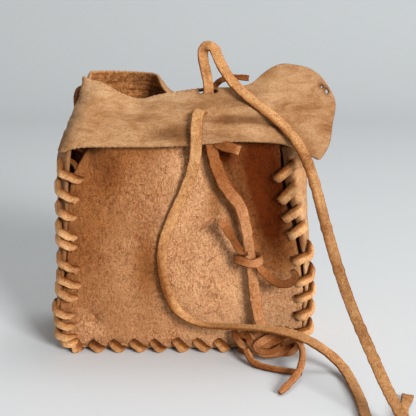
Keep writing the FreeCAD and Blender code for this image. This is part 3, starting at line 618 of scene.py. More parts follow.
flatTail = {
    "name": "flatTail", "body": "bag", "slot": "seam_lace", "seed": 15,
    "route": [(29.0, -35.0, 5.6), (30.6, -39.8, 2.6), (35.0, -43.6, 1.5), (40.8, -46.4, 1.4),
              (46.6, -48.6, 1.4), (53.4, -50.3, 1.4)],
    "facings": [(0.0, (0, -0.6, 1)), (0.4, (0.05, -0.5, 1)), (1.0, (0, -0.3, 1))],
    "widths": [(0.0, 3.0), (0.3, 3.4), (0.9, 3.2), (1.0, 2.6)], "thick": 1.5,
    "sideShade": [(0, 0.5), (0.5, 0.5), (1, 0.4)], "shadeFrom": -0.8,
    "exit": (29.0, -35.0, 5.6), "length": 31.2, "farEnd": "bare", "lay": "loose", "step": 0.5,
}


# Knots and short ends

def strand(points, facings, width, thick, seed, cup=0.2, step=0.5):
    # A strip through points in millimetres, each with the direction that its flat side faces.
    count = len(points)
    widths = np.interp(np.linspace(0, 1, count), np.linspace(0, 1, np.size(width)), np.atleast_1d(width))
    both = np.concatenate([np.asarray(points, float), np.asarray(facings, float), widths[:, None]], axis=1)
    length = np.linalg.norm(np.diff(both[:, :3], axis=0), axis=1).sum()
    samples = max(int(length / step), 12)
    fine = evenly(splineMatrix(count, np.linspace(0, count - 1, samples * 6)) @ both, samples)
    return laceShape(fine[:, :3] * mm, fine[:, 3:6], fine[:, 6] * mm, thick * mm, cup, seed)


def paintShadeAlong(shape, stops):
    # Paints shade along a strip: how dark it is at shares of its length.
    rows = (len(shape["points"]) - 2) // laceCorners
    amount = np.interp(np.linspace(0, 1, rows), *zip(*stops))
    shape["marks"]["shade"][:-2] = np.repeat(amount, laceCorners)
    shape["marks"]["shade"][-2:] = stops[0][1], stops[-1][1]
    return shape


knots = {
    "endKnot": {"centre": (89.0, -110.6, 5.4), "size": 1.45, "wide": 3.4, "thick": 1.6, "seed": 21},
    "stringStopKnot": {"centre": (12.5, -8.0, 113.0), "size": 0.72, "wide": 2.0, "thick": 1.2, "seed": 27},
    "thongStopKnot": {"centre": (12.4, -17.0, 92.0), "size": 0.72, "wide": 2.0, "thick": 1.2, "seed": 28},
}


def makeKnot(name, values, material, slot, node):
    # An overhand knot: x = sin t + 2 sin 2t, y = cos t - 2 cos 2t, z = -sin 3t.
    t = np.linspace(0.05, 2 * math.pi - 0.05, 90)
    path = np.stack([np.sin(t) + 2 * np.sin(2 * t), np.cos(t) - 2 * np.cos(2 * t), -1.1 * np.sin(3 * t)],
                    axis=1)
    points = path * values["size"] + np.asarray(values["centre"])
    facing = unit(path + np.array([0, 0, 1e-3]))
    shape = laceShape(points * mm, facing, values["wide"] * mm, values["thick"] * mm, 0.0, values["seed"])
    return finishPiece(makeLaces(name, [shape], [material]), "bag", slot, node)


endKnotPiece = makeKnot("endKnot", knots["endKnot"], laceSuede, "drawstring_suede", "drawstring_end_knot")
makeKnot("stringStopKnot", knots["stringStopKnot"], laceSuede, "drawstring_suede", "drawstring_stop_knot")
makeKnot("thongStopKnot", knots["thongStopKnot"], thongSuede, "thong_suede", "thong_stop_knot")

# Each short end's last list paints shade along it, deepest where the end lies in shadow under the collar or
# behind the rim.
shortEnds = {
    "knotTail": {
        "points": [(90.2, -107.0, 4.8), (90.2, -97.0, 3.2), (91.6, -86.0, 2.0), (93.6, -79.0, 1.6),
                   (95.8, -72.4, 1.6)],
        "facings": [(0, -0.3, 1), (0, -0.3, 1), (0.1, -0.2, 1), (0.1, -0.2, 1), (0, -0.1, 1)],
        "widths": [3.2, 3.2, 3.4, 4.0, 5.2], "thick": 1.6, "seed": 22, "darker": [(0, 0), (1, 0)]},
    "backStub": {
        "points": [(14.0, -7.4, 114.6), (14.2, -6.7, 120.4), (15.8, -6.2, 123.4), (19.0, -6.0, 125.4),
                   (24.6, -6.2, 126.2), (30.2, -6.5, 125.8)],
        "facings": [(0, -1, 0), (0, -1, 0.1), (-0.1, -1, 0.2), (0, -1, 0.3), (0, -1, 0.3), (0, -1, 0.3)],
        "widths": [3.0, 3.0, 2.8, 2.6, 2.6, 2.6], "thick": 1.7, "seed": 23,
        "darker": [(0, 0.4), (0.5, 0.3), (0.7, 0.6), (1, 0.6)]},
    "sideLoop": {
        "points": [(-44.8, 2.8, 119.8), (-47.4, 2.2, 119.4), (-48.8, 1.8, 117.4), (-49.2, 1.6, 114.6),
                   (-49.0, 1.6, 112.0), (-48.2, 2.0, 109.8)],
        "facings": [(0.3, 0.9, -0.6), (0.5, 0.9, -0.4), (0.6, 0.9, -0.2), (0.6, 0.9, 0), (0.6, 0.9, 0.2),
                    (0.5, 0.9, 0.4)],
        "widths": 3.0, "thick": 1.8, "seed": 24, "darker": [(0, 0.3), (1, 0.3)]},
    "thongStub": {
        "points": [(14.6, -25.6, 100.4), (18.0, -26.8, 99.4), (21.8, -27.6, 98.4), (25.6, -28.0, 97.2)],
        "facings": [(0.0, -1, -0.2), (0, -1, -0.1), (0, -1, 0.1), (0, -1, 0.2)],
        "widths": [4.4, 4.8, 4.6, 4.4], "thick": 1.9, "seed": 25,
        "darker": [(0, 0.7), (0.85, 0.45), (0.93, 0.0), (1, 0.0)]},
}


def makeShortEnd(name, material, slot, node):
    values = shortEnds[name]
    shape = strand(values["points"], values["facings"], values["widths"], values["thick"], values["seed"])
    piece = makeLaces(name, [paintShadeAlong(shape, values["darker"])], [material])
    return finishPiece(piece, "bag", slot, node)


knotTail = makeShortEnd("knotTail", laceSuede, "drawstring_suede", "drawstring_tail")
drawstringLong["withPieces"] = [endKnotPiece, knotTail]
makeCordPiece(drawstringLong, ["drawstring_long"])
makeCordPiece(drawstringShort, ["drawstring_short"])
makeCordPiece(tieThong, ["tie_thong"], thongSuede)
makeCordPiece(curledTail, ["lace_tail_curled"], thongSuede)
makeCordPiece(flatTail, ["lace_tail_flat"], thongSuede)

makeShortEnd("backStub", thongSuede, "drawstring_suede", "drawstring_stub")
makeShortEnd("sideLoop", thongSuede, "drawstring_suede", "drawstring_side_loop")
makeShortEnd("thongStub", thongSuede, "thong_suede", "thong_stub")

sliderKnot = {
    "points": [(17.8, -31.5, 66.6), (20.8, -32.7, 61.6), (23.6, -32.7, 56.6), (26.4, -32.1, 52.0),
               (29.4, -27.3, 49.0), (33.4, -26.9, 48.4), (35.4, -30.3, 47.8), (32.0, -32.7, 46.6),
               (27.0, -32.7, 47.8), (24.0, -30.3, 47.6), (26.0, -26.9, 45.4), (29.8, -26.3, 44.2),
               (33.0, -28.5, 45.0), (34.6, -31.3, 44.4), (37.6, -32.3, 41.2), (41.2, -33.1, 38.3),
               (45.2, -33.5, 36.9), (49.2, -33.7, 38.0), (51.0, -33.9, 41.0), (49.6, -34.3, 43.8)],
    "facings": [(0.2, -1, 0.1), (0.2, -1, 0), (0.1, -1, 0), (-0.2, -0.8, 0.8), (0, 0.5, 1), (0.6, 0.6, 0.3),
                (1, -0.3, 0.2), (0.2, -1, 0.1), (-0.3, -1, 0.1), (-1, -0.1, 0), (-0.4, 0.9, 0), (0.2, 1, 0),
                (0.9, 0.2, 0.1), (0.6, -0.9, 0.2), (0.1, -1, 0.4), (0.1, -0.9, 0.6), (-0.1, -0.8, 0.7),
                (-0.5, -0.8, 0.5), (-0.8, -0.8, 0.1), (-0.7, -0.7, -0.4)],
    "widths": [5.4, 3.8, 3.4, 3.4, 3.6, 3.6, 3.8, 4.0, 3.8, 3.6, 3.4, 3.4, 3.4, 3.6, 3.8, 3.8, 3.8, 3.7,
               3.6, 3.2],
    "thick": 1.9, "seed": 26, "cup": 0.3,
    # Painted shade along the knot, deepest where its wraps and tails lie in shadow.
    "darker": [(0, 0.15), (0.05, 0.5), (0.12, 0.8), (0.2, 0.6), (0.3, 0.25), (0.36, 0.15), (0.5, 0.5),
               (0.65, 0.35), (0.74, 0.45), (0.84, 0.85), (0.92, 0.65), (1, 0.2)],
}
knotShape = strand(sliderKnot["points"], sliderKnot["facings"], sliderKnot["widths"], sliderKnot["thick"],
                   sliderKnot["seed"], sliderKnot["cup"])
finishPiece(makeLaces("sliderKnot", [paintShadeAlong(knotShape, sliderKnot["darker"])], [thongSuede]),
            "slider", "thong_suede", "slider_knot", "slider_tail_up", "slider_tail_side")

laceBundle = [
    {"points": [(25.0, -28.6, 9.0), (29.0, -31.6, 11.4), (34.0, -33.6, 9.4), (39.0, -35.0, 6.6),
                (45.0, -35.0, 4.2), (51.0, -31.5, 3.2)],
     "facings": [(-0.4, -1, 0.2), (-0.1, -1, 0.5), (0.2, -1, 0.3), (0.2, -0.9, 0.5), (0.1, -1, 0.2),
                 (0.5, -1, 0)]},
    {"points": [(26.0, -29.6, 3.4), (30.0, -33.0, 3.8), (34.5, -35.8, 6.2), (40.0, -36.4, 9.4),
                (45.5, -36.8, 11.4), (48.5, -38.6, 10.6)],
     "facings": [(-0.3, -1, 0.2), (-0.2, -1, 0.6), (0, -1, 0.6), (0, -0.9, 0.6), (0.1, -0.6, 1),
                 (0.2, -0.6, 1)]},
    {"points": [(29.0, -31.0, 12.6), (31.6, -35.0, 8.6), (35.0, -36.4, 5.4), (39.5, -37.2, 4.2),
                (44.6, -36.6, 5.0), (48.6, -33.4, 6.8), (50.6, -31.0, 9.8)],
     "facings": [(-0.4, -1, 0), (-0.6, -1, 0.2), (-0.4, -1, 0.4), (0, -0.8, 0.9), (0.1, -0.9, 0.6),
                 (0.4, -1, 0.2), (0.4, -1, 0)]},
    {"points": [(46.5, -31.0, 12.8), (42.0, -34.6, 12.8), (36.6, -37.2, 10.8), (33.8, -38.2, 8.4),
                (37.0, -38.2, 6.2), (42.0, -37.6, 6.8), (45.2, -37.2, 9.0)],
     "facings": [(0.1, -1, 0.8), (0, -1, 0.7), (-0.2, -1, 0.5), (-0.7, -1, 0.1), (-0.2, -1, -0.3),
                 (0.1, -1, -0.2), (0.3, -1, 0)]},
    {"points": [(23.6, -27.0, 12.0), (26.0, -30.6, 8.0), (30.4, -32.6, 6.6), (35.2, -33.2, 12.6),
                (40.6, -32.6, 14.6), (46.0, -30.0, 13.4)],
     "facings": [(-0.5, -1, 0.1), (-0.4, -1, 0.2), (0, -1, 0.3), (-0.4, -1, 0.3), (0.1, -1, 0.5),
                 (0.3, -1, 0.4)]},
    {"points": [(45.0, -33.6, 3.2), (50.0, -34.6, 4.6), (52.6, -33.6, 8.6), (50.4, -33.0, 12.6),
                (46.4, -32.0, 14.6)],
     "facings": [(0.2, -1, 0.2), (0.4, -1, 0.2), (0.8, -1, 0.1), (0.4, -1, 0.4), (0, -1, 0.6)]},
]
# Painted shade along each strip of the bundle, deepest towards its ends in the tangle's hollows.
bundleShape = {"widths": [2.8, 3.6, 3.5, 3.0], "thick": 1.7, "seed": 30,
               "darker": [(0, 0.75), (0.3, 0.2), (0.6, 0.35), (1, 0.7)]}
bundleStrips = []
for k, item in enumerate(laceBundle):
    shape = strand(item["points"], item["facings"], bundleShape["widths"], bundleShape["thick"],
                   bundleShape["seed"] + k)
    bundleStrips.append(paintShadeAlong(shape, bundleShape["darker"]))
finishPiece(makeLaces("laceBundle", bundleStrips, [thongSuede]), "bag", "seam_lace", "lace_bundle")
print("cords, knots and loose ends made")


# Front and back panels

panelShape = {
    "leftEdge": [(1.6, -52.0), (3.4, -55.0), (8.0, -56.6), (22.0, -56.8), (31.0, -54.6), (39.0, -52.8),
                 (50.0, -52.0), (74.0, -50.7), (84.0, -48.6), (92.0, -45.0), (99.5, -41.0)],
    "rightEdge": [(1.6, 50.5), (3.4, 53.4), (8.0, 55.0), (30.0, 55.0), (45.0, 53.0), (54.0, 51.0),
                  (61.0, 49.5), (71.0, 46.4), (83.0, 43.9), (92.0, 43.4), (99.5, 43.0)],
    "front": -23.0, "thick": 1.8, "bulge": 2.8,
    # Patches of painted shade: cast shadows of the cords and the collar, the hollow at the upper right and
    # the left side turned from the light; a negative one takes painted shade away.
    "darker": [{"at": (36, 91), "reach": (16, 22), "dark": 1.0},
               {"at": (41, 66), "reach": (9, 18), "dark": 0.72},
               {"at": (-6, 99), "reach": (40, 5), "dark": 0.20},
               {"at": (-55, 66), "reach": (35, 60), "dark": 0.60},
               {"at": (-32, 86), "reach": (6, 9), "dark": 0.36},
               {"at": (-15.5, 42), "reach": (6.5, 15), "dark": 0.48},
               {"at": (-20, 96), "reach": (28, 11), "dark": 0.24},
               {"at": (-15, 78), "reach": (8, 14), "dark": 0.14},
               {"at": (-20, 12), "reach": (34, 18), "dark": 0.22},
               {"at": (-43, 11), "reach": (7, 9), "dark": -0.30},
               {"at": (14, 72), "reach": (3, 11), "dark": 0.30},
               {"at": (18, 93), "reach": (6, 6), "dark": 0.5},
               {"at": (46, 48), "reach": (9, 15), "dark": 0.5},
               {"at": (1, 91), "reach": (7, 8), "dark": -0.26}],
    "creases": [
        {"points": [(14, 98), (19, 84), (27, 66), (33, 50), (35, 36)], "width": 6.0, "depth": 3.0},
        {"points": [(30, 96), (35, 82), (38, 66), (40, 54)], "width": 6.0, "depth": 3.0},
        {"points": [(-30, 12), (-20, 15.5), (-9, 17)], "width": 0.8, "depth": 0.35},
        {"points": [(-44, 20), (-41, 16), (-42.5, 13)], "width": 2.0, "depth": 1.3},
        {"points": [(-4, 46), (6, 60), (12, 70)], "width": 5.0, "depth": 0.9},
        {"points": [(-38, 60), (-26, 64), (-16, 62)], "width": 7.0, "depth": 0.7},
    ],
}


def panelGrid(values, rows=150, columns=170):
    # Each row runs from the left edge to the right edge at its height; the face swells, folds and puckers.
    top = values["leftEdge"][-1][0]
    low = values["leftEdge"][0][0]
    up = low + (top - low) * np.linspace(0, 1, rows)
    left = np.interp(up, *zip(*values["leftEdge"]))
    right = np.interp(up, *zip(*values["rightEdge"]))
    share = np.linspace(0, 1, columns)
    x = left[:, None] + (right - left)[:, None] * share
    z = np.broadcast_to(up[:, None], x.shape)
    flat = np.stack([x, z], axis=-1)
    rough = smoothNoise(flat, 16, 41) * 0.35 + smoothNoise(flat, 5, 42) * 0.10
    rough = rough + smoothNoise(flat, 2.0, 43) * 0.04
    upright = np.sin(math.pi * np.clip((z - low) / 96, 0, 1)) ** 0.7
    swell = values["bulge"] * (1 - (2 * share - 1) ** 2)[None, :] * upright
    groove = creaseDepth(x, z, values["creases"])
    y = values["front"] + values["thick"] / 2 - swell - rough + groove
    return x, y, z, groove


def finishPanel(name, grid, values, shade, node):
    panel = leatherShell(name, grid, values["thick"] * mm, [suedePanel], {"shade": shade})
    return finishPiece(panel, "bag", "suede_panel", node)


def makeFrontPanel(values):
    x, y, z, groove = panelGrid(values)
    # The upper left corner curls back and in.
    curl = np.clip((z - 84) / 14, 0, 1) ** 1.4 * np.clip((-33 - x) / 9, 0, 1) ** 1.5
    y = y + curl * 9.0
    x = x + curl * 2.0
    # Painted shade, deepest in the creases, plus the patches below.
    shade = np.clip(groove / 9, 0, 0.25)
    for spot in values["darker"]:
        # A soft round patch of painted shade that fades out as a bell curve.
        far = ((x - spot["at"][0]) / spot["reach"][0]) ** 2 + ((z - spot["at"][1]) / spot["reach"][1]) ** 2
        shade = shade + spot["dark"] * np.exp(-far)
    return finishPanel("frontPanel", np.stack([x, y, z], axis=-1) * mm, values, shade, "front_panel")


def makeBackPanel(values):
    x, y, z = panelGrid(values, 100, 110)[:3]
    grid = np.stack([-x, -y, z], axis=-1) * mm
    return finishPanel("backPanel", grid, values, np.zeros(x.shape), "back_panel")


backShape = {
    **panelShape, "bulge": 1.6,
    "creases": [{"points": [(-20, 30), (0, 50), (8, 80)], "width": 9, "depth": 1.2}],
    "rightEdge": [(1.6, 46.5), (3.4, 50.4), (8.0, 52.8), (30, 54.0), (99.5, 54.0)],
    "leftEdge": [(1.6, -46.5), (3.4, -50.4), (8.0, -52.8), (30, -54.0), (99.5, -54.0)],
}
makeFrontPanel(panelShape)
makeBackPanel(backShape)


# Gusset strip: left side, base and right side in one U

gussetShape = {
    "half": 55.6, "top": 98.0, "corner": 7.0, "low": 1.1, "thick": 1.8, "front": -22.8, "back": 23.0,
    "rightFront": [(0, 56.4), (30, 57.2), (45, 56.0), (54, 53.8), (61, 52.4), (71, 49.6), (83, 46.7),
                   (98, 45.4)],
    "leftFront": [(0, 57.0), (8, 58.2), (22, 58.0), (31, 56.0), (39, 54.6), (60, 53.0), (72, 51.9),
                  (80, 51.6), (88, 51.0), (98, 49.0)],
    "rightFlare": [(0, 3.0), (40, 2.6), (52, 1.0), (66, 0)],
    "leftFlare": [(0, 3.0), (24, 2.2), (44, 0.6), (60, 0)],
    "swell": 1.7, "lean": 2.2,
    "leftEdgeShade": {"share": 0.20, "dark": 0.6}, "rightEdgeShade": {"share": 0.06, "dark": 1.1, "from": 46},
    "holes": [(49.0, 90.6, 2.2, 0.9), (49.6, 81.4, 1.6, 0.7), (52.2, 69.6, 1.7, 1.1),
              (54.2, 61.4, 1.6, 1.1)],
}


def makeGusset(values, along=300, across=52):
    # A U of two straight sides, two quarter circles and a sagging base, carried from front to back.
    half, corner, low = values["half"], values["corner"], values["low"]
    turn = np.linspace(0, math.pi / 2, 24)
    u = np.concatenate([
        np.stack([np.full(60, -half), np.linspace(values["top"], low + corner, 60)], axis=1),
        np.stack([-half + corner * (1 - np.cos(turn)), low + corner * (1 - np.sin(turn))], axis=1)[1:],
        np.stack([np.linspace(-half + corner, half - corner, 80), np.full(80, low)], axis=1)[1:],
        np.stack([half - corner * (1 - np.sin(turn)), low + corner * (1 - np.cos(turn))], axis=1)[1:],
        np.stack([np.full(60, half), np.linspace(low + corner, values["top"], 60)], axis=1)[1:]])
    u = evenly(u, along)
    share = np.linspace(0, 1, across)
    y = values["front"] + (values["back"] - values["front"]) * share
    x = np.broadcast_to(u[:, 0][:, None], (along, across)).copy()
    z = np.broadcast_to(u[:, 1][:, None], (along, across)).copy()
    side = np.clip((np.abs(x) - (half - corner)) / corner, 0, 1) ** 2
    nearFront = np.clip(1 - share / 0.30, 0, 1) ** 2
    rightIn = half - np.interp(z, *zip(*values["rightFront"]))
    leftIn = half - np.interp(z, *zip(*values["leftFront"]))
    upright = np.sin(math.pi * np.clip(z / 110, 0, 1)) ** 0.8
    swell = values["swell"] * np.sin(math.pi * share) ** 0.6 * upright
    rightFlare = np.interp(z, *zip(*values["rightFlare"]))
    leftFlare = np.interp(z, *zip(*values["leftFlare"]))
    flare = np.where(x > 0, rightFlare, leftFlare)
    swell = swell + flare * (1 - nearFront) * (1 - share)
    x = x - np.where(x > 0, rightIn, -leftIn) * nearFront * side + np.sign(x) * swell * side
    x = x + np.where(x < 0, values["lean"], 0) * np.clip((z - 88) / 10, 0, 1) ** 1.5 * (1 - nearFront)
    seam = np.clip((np.abs(share - 0.5) - 0.30) / 0.15, 0, 1)
    z = z + (1 - side) * 1.9 * seam * seam * (3 - 2 * seam)
    places = np.stack([x, np.broadcast_to(y, x.shape), z], axis=-1)
    x = x + np.sign(x) * side * (smoothNoise(places, 14, 51) * 0.35 + smoothNoise(places, 4, 52) * 0.07)
    shade = np.zeros(x.shape)
    for holeX, holeZ, tall, wide in values["holes"]:
        # Painted shade of a stitch hole above each stitch: a dark slot, leaning to the right, that fades out
        # quickly at its rim.
        lean = (x - holeX) * 0.8 - (z - holeZ) * 0.5
        climb = (x - holeX) * 0.5 + (z - holeZ) * 0.8
        shade += 1.2 * np.exp(-((lean / wide) ** 2 + (climb / tall) ** 2) ** 2) * (y < -4)
    # Painted shade on both front edges between the stitches, on the right only up the upper half.
    left, right = values["leftEdgeShade"], values["rightEdgeShade"]
    shade += left["dark"] * np.clip(1 - share / left["share"], 0, 1) * (x < -45)
    upper = np.clip((z - right["from"]) / 8, 0, 1)
    shade += right["dark"] * np.clip(1 - share / right["share"], 0, 1) * upper * (x > 40)
    grid = np.stack([x, np.broadcast_to(y, x.shape), z], axis=-1) * mm
    marks = {"shade": np.clip(shade, 0, 1)}
    strip = leatherShell("gussetStrip", grid, values["thick"] * mm, [gussetLeather], marks)
    return finishPiece(strip, "bag", "grain_leather", "gusset_strip")


makeGusset(gussetShape)
print("panels and gusset made")


# Seam lacing: one long strip through every stitch, in at the panel's hole and over the edge to the gusset's

# Heights of the panel's holes up its sides, and their places along its base. The pairs are (height, length):
# inset is how far a hole lies in from the panel's edge, beyond is how far the stitch's other hole lies past
# the gusset's edge, rise is how much higher that one is, and depth is how far behind the front it is.
# Corner and end stitches are whole rows: hole x and z, other hole x and z, depth.
seam = {
    "left": {"heights": [83, 74, 65, 56, 50.5, 40.5, 32.5, 26, 17.5, 12, 7], "side": -1,
             "inset": [(7, 5.4), (18, 4.8), (33, 6.0), (41, 4.3), (50, 2.8), (56, 2.2), (74, 2.7),
                       (84, 4.0)],
             "beyond": [(10, 0), (33, 1.0), (60, 2.5), (90, 3.4)],
             "rise": [(7, 3), (12, 4.4), (26, 7), (84, 7.2)],
             "depth": [(7, 5), (65, 5), (84, 4)]},
    "corner": [(-49.5, 5, -56, 4, 5), (-50, 4.5, -48.5, 1, 4.6)],
    "end": [(46.5, 6.0, 52, 3, 5)],
    "base": {"places": [-43, -33.5, -24, -14, -3.5, 6, 16, 27, 37], "height": (5.0, 6.0), "run": 5.2,
             "depth": 4.6},
    "right": {"heights": [9, 17.5, 26, 34, 44.5, 57, 65, 73, 83], "side": 1,
              "inset": [(9, 2.0), (40, 2.8), (60, 1.8), (83, 2.2)],
              "beyond": [(13, 1.4), (50, 2.6), (70, 2.2), (90, 3.5)],
              "rise": [(9, 5), (34, 7.2), (45, 6.4), (57, 3.6), (65, 4), (73, 6.3), (83, 7)],
              "depth": [(9, 5), (45, 4.8), (57, 1.6), (73, 0.8)]},
}


def sideStitches(values, panelEdge, gussetEdge):
    # A row for each stitch: hole in the panel (x, z), hole in the gusset (x, z), and the second one's depth.
    z = np.asarray(values["heights"], float)
    top = z + np.interp(z, *zip(*values["rise"]))
    holeX = np.interp(z, *zip(*panelEdge)) - values["side"] * np.interp(z, *zip(*values["inset"]))
    outX = values["side"] * (np.interp(top, *zip(*gussetEdge)) + np.interp(top, *zip(*values["beyond"])))
    return np.stack([holeX, z, outX, top, np.interp(z, *zip(*values["depth"]))], axis=1)


def frontSeam(values, panel, gusset):
    # Down the left side, round its corner, along the base and up the right side.
    base = values["base"]
    x = np.asarray(base["places"], float)
    along = np.stack([x, np.linspace(*base["height"], len(x)), x + base["run"], np.full(len(x), 1.0),
                      np.full(len(x), base["depth"])], axis=1)
    left = sideStitches(values["left"], panel["leftEdge"], gusset["leftFront"])
    right = sideStitches(values["right"], panel["rightEdge"], gusset["rightFront"])
    return np.concatenate([left, values["corner"], along, values["end"], right])


# Base widths are shares of the full width at a stitch's nine points; the painted shade pairs are (place
# across, amount).
lacingShape = {
    "wide": 4.6, "pinched": 2.9, "thick": 1.8, "front": -23.0, "step": 0.4, "rightWider": 1.08,
    "sideFrom": 49.0,
    "baseWidths": [0.6, 0.8, 1.05, 1.03, 0.8, 0.66, 0.6, 0.5, 0.5],
    "upperShade": [(-56, 0.28), (-44, 0.8), (44, 0.8), (50, 0.75)],
    "wholeShade": [(-52, 0), (-44, 0.3), (44, 0.3), (50, 0.0)],
}


def stitchPath(stitches, values, seed):
    # Nine points for each stitch: out of the panel, arched over the edge, round it, and back inside.
    rng = np.random.default_rng(seed)
    table = np.asarray(stitches, float)
    hole = table[:, 0:2] + rng.normal(0, 0.25, (len(table), 2))
    out = table[:, 2:4] + rng.normal(0, 0.35, (len(table), 2))
    depth = table[:, 4]
    front = values["front"]
    over = unit(out - hole)
    sideways = np.stack([np.sign(out[:, 0]), np.zeros(len(out))], axis=1)
    onSide = np.abs(out[:, 0]) > values["sideFrom"]
    away = np.where(onSide[:, None], sideways, np.array([0.0, -1.0]))
    corner = onSide & (out[:, 1] < 9)
    drop = np.clip((10 - out[corner, 1]) / 8, 0, 1)
    away[corner] = unit(np.stack([np.sign(out[corner, 0]), -drop], axis=1))
    # A shallow stitch lies flat on the front, a deep one goes round the edge.
    shallow = depth < 2
    flat = shallow[:, None]
    lift = rng.uniform(0.0, 0.7, len(table))
    inside = np.where(flat, over, away)
    reach = out - hole
    base = (np.abs(away[:, 1]) > 0.99)[:, None]
    frontRun = np.where(flat | base, reach, reach * np.array([1.0, 0.5]))
    spots = [
        (hole, front + 1.9 + 0 * depth),
        (hole + frontRun * 0.03, front - 0.9 + 0 * depth),
        (hole + frontRun * 0.32, front - 2.2 - lift),
        (hole + frontRun * 0.70, front - np.where(base[:, 0], 3.0, 2.1) - lift),
        (hole + frontRun + np.where(flat, over * 0.2, away * 0.5),
         np.where(shallow, front - 1.7, front - 1.0)),
        (hole * 0.15 + out * 0.85 + np.where(flat, over * 2.0, away * 2.2),
         np.where(shallow, front - 0.4, front + 1.7)),
        (out + np.where(flat, over * 0.8, away * 1.1), np.where(shallow, front + 1.4, front + depth)),
        (out - inside * 2.6, np.where(shallow, front + 3.0, front + depth + 1.2)),
        (hole * 0.6 + out * 0.4 - inside * 1.2, front + 3.2 + 0 * depth),
    ]
    points = np.stack([np.stack([spot[:, 0], deep, spot[:, 1]], axis=1) for spot, deep in spots], axis=1)
    core = np.stack([(hole[:, 0] + out[:, 0]) / 2, np.where(shallow, front + 0.4, front + depth / 2 + 0.4),
                     (hole[:, 1] + out[:, 1]) / 2], axis=1)
    facing = unit(points - core[:, None, :])
    side = np.array([values["pinched"], values["wide"] * 0.9] + [values["wide"]] * 4
                    + [values["pinched"]] * 3)
    side = side * np.where(hole[:, :1] > 0, values["rightWider"], 1.0)
    low = values["wide"] * np.array(values["baseWidths"])
    wide = (np.where(base, low, side) * rng.uniform(0.86, 1.08, (len(table), 1))).reshape(-1)
    return points.reshape(-1, 3), facing.reshape(-1, 3), wide


def makeLacing(name, stitches, values, seed, flip, nodes):
    points, facing, wide = stitchPath(stitches, values, seed)
    points[:, 2] = np.maximum(points[:, 2], values["thick"] / 2 + 0.1)
    if flip:
        points[:, :2] *= -1
        facing[:, :2] *= -1
    shape = strand(points, facing, wide, values["thick"], seed, 0.1, values["step"])
    shape["points"][:, 2] = np.maximum(shape["points"][:, 2], floorGap)
    # Painted shade: each strip is darkest along its upper side, where it curls out of the hole, and the base
    # stitches are shaded all over.
    rings = shape["points"][:-2].reshape(-1, laceCorners, 3)
    upper = (rings[..., 2] - rings[..., 2].mean(axis=1, keepdims=True)) / (values["wide"] * mm / 2)
    place = rings[..., 0].mean(axis=1) / mm
    amount = np.interp(place, *zip(*values["upperShade"]))[:, None]
    whole = np.interp(place, *zip(*values["wholeShade"]))[:, None]
    shape["marks"]["shade"][:-2] = (whole + amount * np.clip(upper * 2.2 - 0.1, 0, 1)).reshape(-1)
    return finishPiece(makeLaces(name, [shape], [seamSuede]), "bag", "seam_lace", *nodes)


makeLacing("frontLacing", frontSeam(seam, panelShape, gussetShape), lacingShape, 61, False,
           ["lace_front_left", "lace_front_base", "lace_front_right"])
backStitches = ([(-47.0, z, -56.8, z + 5.0, 5.0) for z in np.linspace(86, 18, 9)]
                + [(-47.0, 9.0, -55.6, 9.0, 5.0)]
                + [(x, 6.6, x + 4.8, 1.4, 4.6) for x in np.linspace(-42, 38, 9)]
                + [(47.0, 9.0, 55.6, 9.0, 5.0)]
                + [(47.0, z, 56.8, z + 5.0, 5.0) for z in np.linspace(16, 84, 9)])
makeLacing("backLacing", backStitches, lacingShape, 62, True,
           ["lace_back_left", "lace_back_base", "lace_back_right"])
print("lacing made")


# Collar: one long strip from the ear at the right, across the front and round the left and the back to the
# right side.

